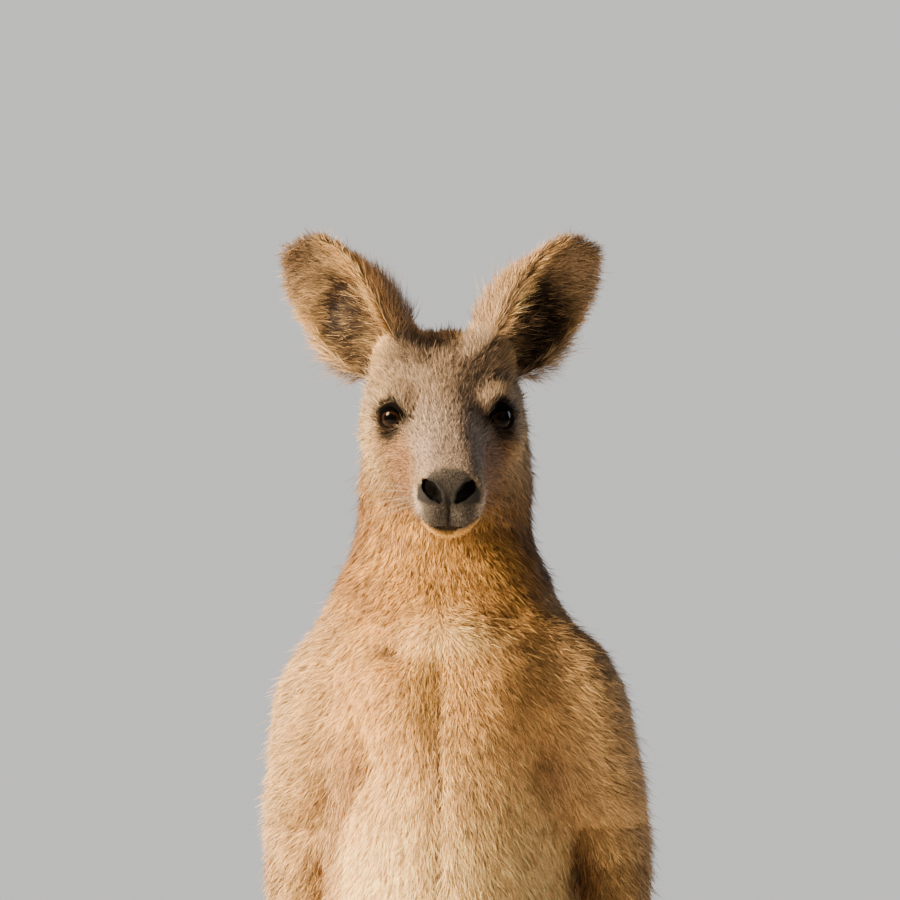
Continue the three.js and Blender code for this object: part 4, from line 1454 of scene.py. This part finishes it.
def eye_material():
    """Wet eye: black pupil, brown iris streaked from the middle, dark rim; the streaks follow its own
    attribute of distance from the pupil, which also carries painted shade over the iris's upper part."""
    nodes = Nodes(bpy.data.materials.new("eye"), Roughness=0.09, Specular_IOR_Level=0.055)
    off = nodes.add("Attribute", "Fac", attribute_name="off")
    streak = nodes.texture("Noise", "Fac", Scale=700.0, Detail=3.0)
    shake = nodes.add("Math", operation="MULTIPLY_ADD", in_0=streak, in_1=0.12, in_2=off)
    nodes.set(Base_Color=nodes.ramp(shake, *IRIS_STOPS))
    return nodes.owner


def horn_material():
    """Dark horn, streaked and slightly worn."""
    nodes = Nodes(bpy.data.materials.new("horn"), Roughness=0.38)
    streak = nodes.texture("Noise", "Fac", Scale=260.0, Detail=4.0, Distortion=0.6)
    bump = nodes.add("Bump", "Normal", Height=streak, Strength=0.35, Distance=0.0003)
    nodes.set(Base_Color=nodes.ramp(streak, (0, HORN_DARK), (1, HORN_PALE)), Normal=bump)
    return nodes.owner


def plain_material(name, colour, roughness):
    """A floor or bristle finish with a faint unevenness."""
    nodes = Nodes(bpy.data.materials.new(name), Roughness=roughness)
    patch = nodes.texture("Noise", "Fac", Scale=6.0, Detail=3.0)
    nodes.set(Base_Color=nodes.ramp(patch, (0, [c * 0.94 for c in colour]), (1, colour)))
    return nodes.owner


# ---- pieces ----

def colours_on(mesh, name, values):
    layer = mesh.color_attributes.new(name, "FLOAT_COLOR", "POINT")
    layer.data.foreach_set("color", np.asarray(values, np.float32).ravel())


def numbers_on(mesh, name, values):
    layer = mesh.attributes.new(name, "FLOAT", "POINT")
    layer.data.foreach_set("value", np.asarray(values, np.float32))


def map_on(mesh, places):
    layer = mesh.uv_layers.new(name="OFBake")
    layer.data.foreach_set("uv", np.asarray(places, np.float32).ravel())


def piece(name, mesh, material):
    mesh.materials.append(material)
    mesh.polygons.foreach_set("use_smooth", np.ones(len(mesh.polygons), bool))
    obj = object_of(name, mesh)
    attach(obj, "root")
    return obj


def make_skin():
    """The one skin, its markings and its map. Returns what the coat grows from."""
    verts, tris = whole_skin()
    normals = Web(verts, tris).normals(verts)
    places = Places(verts)
    mesh = mesh_of("skin", verts, tris)
    unwrapped = unwrap(verts, tris, places.weight[tris].mean(1).argmax(1))
    corners = verts[tris].reshape(-1, 3)
    map_on(mesh, on_map(unwrapped, corners, np.repeat(np.arange(len(tris)), 3)))
    dull = in_nostril(places.head)
    for name in SIDES:
        reach, measure = lid_measure(places.head, name)
        dull = np.maximum(dull, (reach < EYE_RADIUS + 9) & (measure < 1.6))
    bare = face_bare(places.head)[0] * places.share("head") * (1 - 0.9 * dull)
    # painted shade: where hair grows, the skin is darker than the coat's markings, so the gaps between
    # tufts read as shade among the hairs
    tone = coat_colour(places, normals) * (0.72 + 0.28 * bare)[:, None]
    colours_on(mesh, "coat", np.hstack([np.clip(tone, 0, 1), np.ones((len(verts), 1))]))
    numbers_on(mesh, "bare", bare)
    skin = piece("skin", mesh, skin_material())
    flesh = [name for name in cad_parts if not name.startswith("eye_") and "claw" not in name]
    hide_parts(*flesh)
    crowd = coat_measures(places, normals)[3]
    return verts, tris, normals, crowd, unwrapped


def coat_groups(roots):
    """A name for each tuft's piece, by where its root is."""
    places = Places(roots)
    height, forward = places.own[:, 2], -places.head[:, 1]
    kinds = np.array([label.split("_")[0] for label in LABELS])[places.weight.argmax(1)]
    names = np.full(len(roots), "coat_hips", "U14")
    names[(kinds == "trunk") & (height > 760)] = "coat_body"
    names[(kinds == "trunk") & (height > 1035)] = "coat_neck"
    names[(kinds == "head") & (forward > 22)] = "coat_face"
    names[(kinds == "head") & (forward <= 22)] = "coat_crown"
    for kind, name in GROUPS.items():
        names[kinds == kind] = "coat_" + name
    return names


def make_coat(grown):
    """The tufts, put into one piece for each part of the body."""
    verts, shades, tones, places = coat(*grown)
    names = coat_groups(verts[::4])
    order = np.lexsort((verts[::4, 2], names))
    material = coat_material()
    for name in np.unique(names):
        chosen = order[names[order] == name]
        rows = (chosen[:, None] * 4 + np.arange(4)).ravel()
        local = (np.arange(len(chosen))[:, None, None] * 4 + LEAF).reshape(-1, 3)
        mesh = mesh_of(name, verts[rows], local)
        colours_on(mesh, "coat", tones[rows])
        map_on(mesh, places[rows][local.ravel()])
        piece(str(name), mesh, material)
        mesh.normals_split_custom_set_from_vertices(shades[rows])


def make_eye(name, material):
    """An eyeball whose cornea stands a little proud of it; off is 0 at the pupil's middle and 1 at the
    iris's rim, with the pupil a little wider than it is tall, and is raised over the iris's upper part
    for painted shade of the upper lid and lashes there."""
    verts, faces = ball([0, 0, 0], [1, 1, 1], rings=60, around=84)
    gaze = unit(PUPIL * [SIDES[name], 1, 1])
    along = verts @ gaze
    verts = verts * EYE_RADIUS * (1 + 0.05 * ease(along, 0.72, 0.98))[:, None]
    side = unit(np.cross(gaze, [0, 0, 1]))
    rise = np.cross(side, gaze)
    arm = unit(verts)
    off = np.hypot(arm @ side, 1.12 * (arm @ rise)) / IRIS
    # painted shade: the upper part of the iris is pushed towards black, for the shade of the upper lid
    # and lashes
    off = np.where(along > 0, off + 0.3 * ease(arm @ rise * np.sign(rise[2]), 0.05, 0.45), 3)
    mesh = mesh_of("eyeball_" + name, from_head(verts + EYES[name]), faces)
    numbers_on(mesh, "off", off)
    obj = piece("eyeball_" + name, mesh, material)
    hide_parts("eye_" + name)


def claw_loft(start, way, length, radius, hook):
    """A tapering horn: rings along a line that bends by the square of the way towards its hook."""
    share = np.linspace(0, 1, 14)
    centre = start + way * (length * share)[:, None] + hook * (share**2 * length * 0.32)[:, None]
    r = radius * (1 - 0.8 * share)
    rows = np.hstack([centre, (r * 0.8)[:, None], r[:, None]])
    return tube(rows, rings=26, around=18, square=2)


def make_claws():
    """Horn tips for the fingers and for the clawed toes."""
    material = horn_material()
    for name, side in SIDES.items():
        for number in range(FINGERS):
            root, way, length = finger_line(number)
            verts, faces = claw_loft(root + way * length * 0.88, way, 19, 3.4, np.array([0, 1, 0]))
            verts, faces = outward(hung(verts, name), faces)
            mesh = mesh_of("claw", placed(verts), faces)
            claw = piece(f"claw_hand_{name}_{number + 1}", mesh, material)
            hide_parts(f"hand_claw_{name}_{number + 1}")
        for node, (start, length, radius) in FOOT_CLAWS.items():
            way = unit(np.array([0, -1.0, 0.02]))
            verts, faces = claw_loft(np.array(start), way, length, radius, np.array([0, 0, -1.0]))
            verts, faces = outward(verts * [side, 1, 1], faces)
            verts[:, 2] = np.maximum(verts[:, 2], 0)
            mesh = mesh_of("claw", placed(verts), faces)
            claw = piece(f"claw_foot_{name}_{node}", mesh, material)
            kind, number = node.split("_")
            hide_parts(f"claw_{kind}_{name}_{number}")


def bristles(starts, ways, lengths, thick, droop):
    """Whiskers and lashes: three-sided tapers along a line that droops by the square of the way."""
    share = np.linspace(0, 1, 7)
    centre = starts[:, None] + ways[:, None] * (lengths[:, None] * share)[..., None]
    centre = centre + droop * (lengths[:, None] * share**2)[..., None]
    along = unit(np.gradient(centre, axis=1))
    side = unit(np.cross(along, np.array([0.1, 0.2, 1.0])))
    up = np.cross(side, along)
    turn = (np.arange(3) * 2 * math.pi / 3)[:, None]
    reach = (thick / 2 * (1 - 0.93 * share))[None, :, None, None]
    ring = centre[:, :, None] + reach * (side[:, :, None] * np.cos(turn) + up[:, :, None] * np.sin(turn))
    return joined([outward(*closed_grid(r, c[0], c[-1])) for r, c in zip(ring, centre)])


def make_whiskers():
    """A few bristles on each side of the lips, and a few lashes on each upper lid."""
    rng = np.random.default_rng(5)
    pieces = []
    for name, side in SIDES.items():
        n = 15
        on, down = rng.uniform(0, 1, (n, 2)).T
        starts = np.stack([side * (22 + 3 * on) + NOSE_SIDE, -(92 - 24 * on), -14 - 14 * down], 1)
        ways = unit(np.stack([side * np.ones(n), -0.25 + 0.6 * on, 0.35 - 0.75 * down], 1))
        pieces.append(bristles(starts, ways, rng.uniform(22, 48, n), 0.34, np.array([0, 0.25, -0.25])))
        n = 3
        starts = EYES[name] + np.array([[side * -4, -8, 17], [0, -6, 18], [side * 4, -3, 18]])
        ways = unit(np.array([[side * 0.25, -0.7, 0.9]] * n) + rng.normal(0, 0.15, (n, 3)))
        pieces.append(bristles(starts, ways, rng.uniform(18, 30, n), 0.3, np.array([0, 0.3, -0.1])))
    verts, faces = joined(pieces)
    mesh = mesh_of("whiskers", from_head(verts), faces)
    piece("whiskers", mesh, plain_material("bristle", (0.30, 0.24, 0.18), 0.4))


def make_floor():
    """A pale floor, wide enough for every view."""
    count = 13
    span = np.linspace(-5, 5, count)
    x, y = np.meshgrid(span, span, indexing="ij")
    verts = np.stack([x, y, 0 * x], -1).reshape(-1, 3)
    i, j = np.meshgrid(np.arange(count - 1), np.arange(count - 1), indexing="ij")
    a = (i * count + j).ravel()
    mesh = mesh_of("floor", verts, np.stack([a, a + count, a + count + 1, a + 1], 1))
    mesh.materials.append(plain_material("floor", (0.74, 0.73, 0.71), 0.8))
    floor = object_of("floor", mesh)


def make_light(name, place, energy, colour, size):
    """A round lamp turned to the middle of the animal."""
    data = bpy.data.lights.new(name, "AREA")
    data.energy, data.color = energy, colour
    data.shape, data.size = "DISK", size
    light = bpy.data.objects.new(name, data)
    light.location = place
    aim = Vector((0, OWN[1], 1.0)) - Vector(place)
    light.rotation_euler = aim.to_track_quat("-Z", "Y").to_euler()
    bpy.context.scene.collection.objects.link(light)


def make_studio():
    """A warm key high on the left, a weak fill from the right, a rim from behind, and a pale room."""
    make_light("key", (-4.6, -2.75, 3.5), 2350, (1.0, 0.79, 0.52), 2.2)
    make_light("fill", (4.2, -3.2, 2.2), 18, (0.80, 0.90, 1.0), 3.0)
    make_light("rim", (-1.6, 3.4, 3.4), 180, (1.0, 0.86, 0.68), 1.2)
    make_light("back", (4.4, 3.0, 2.4), 80, (0.88, 0.93, 1.0), 2.4)
    world = bpy.data.worlds.new("room")
    room = Nodes(world, "Background", "World Output", Color=(0.74, 0.85, 1.0, 1), Strength=0.08)
    wall = room.add("Background", Color=(0.90, 0.89, 0.87, 1), Strength=0.85)
    bpy.context.scene.world = room.blended_with(room.add("LightPath", "Is Camera Ray"), wall)


def make_camera():
    """A long lens at head height, a little to the animal's left, looking level at the upper chest."""
    turn, far, seen = math.radians(3.5), 6, 0.684
    side = Vector((math.cos(turn), math.sin(turn), 0))
    back = Vector((math.sin(turn), -math.cos(turn), 0))
    aim = Vector((0, OWN[1], 1.189)) - side * 0.0025
    data = bpy.data.cameras.new("camera")
    data.sensor_width = 36
    data.lens = data.sensor_width * far / seen
    camera = bpy.data.objects.new("camera", data)
    camera.location = aim + back * far
    camera.rotation_euler = (-back).to_track_quat("-Z", "Y").to_euler()
    bpy.context.scene.collection.objects.link(camera)
    bpy.context.scene.camera = camera


# ---- putting it together ----

make_camera()
make_studio()
make_floor()
grown = make_skin()
make_coat(grown)
eye_finish = eye_material()
for name in SIDES:
    make_eye(name, eye_finish)
make_claws()
make_whiskers()
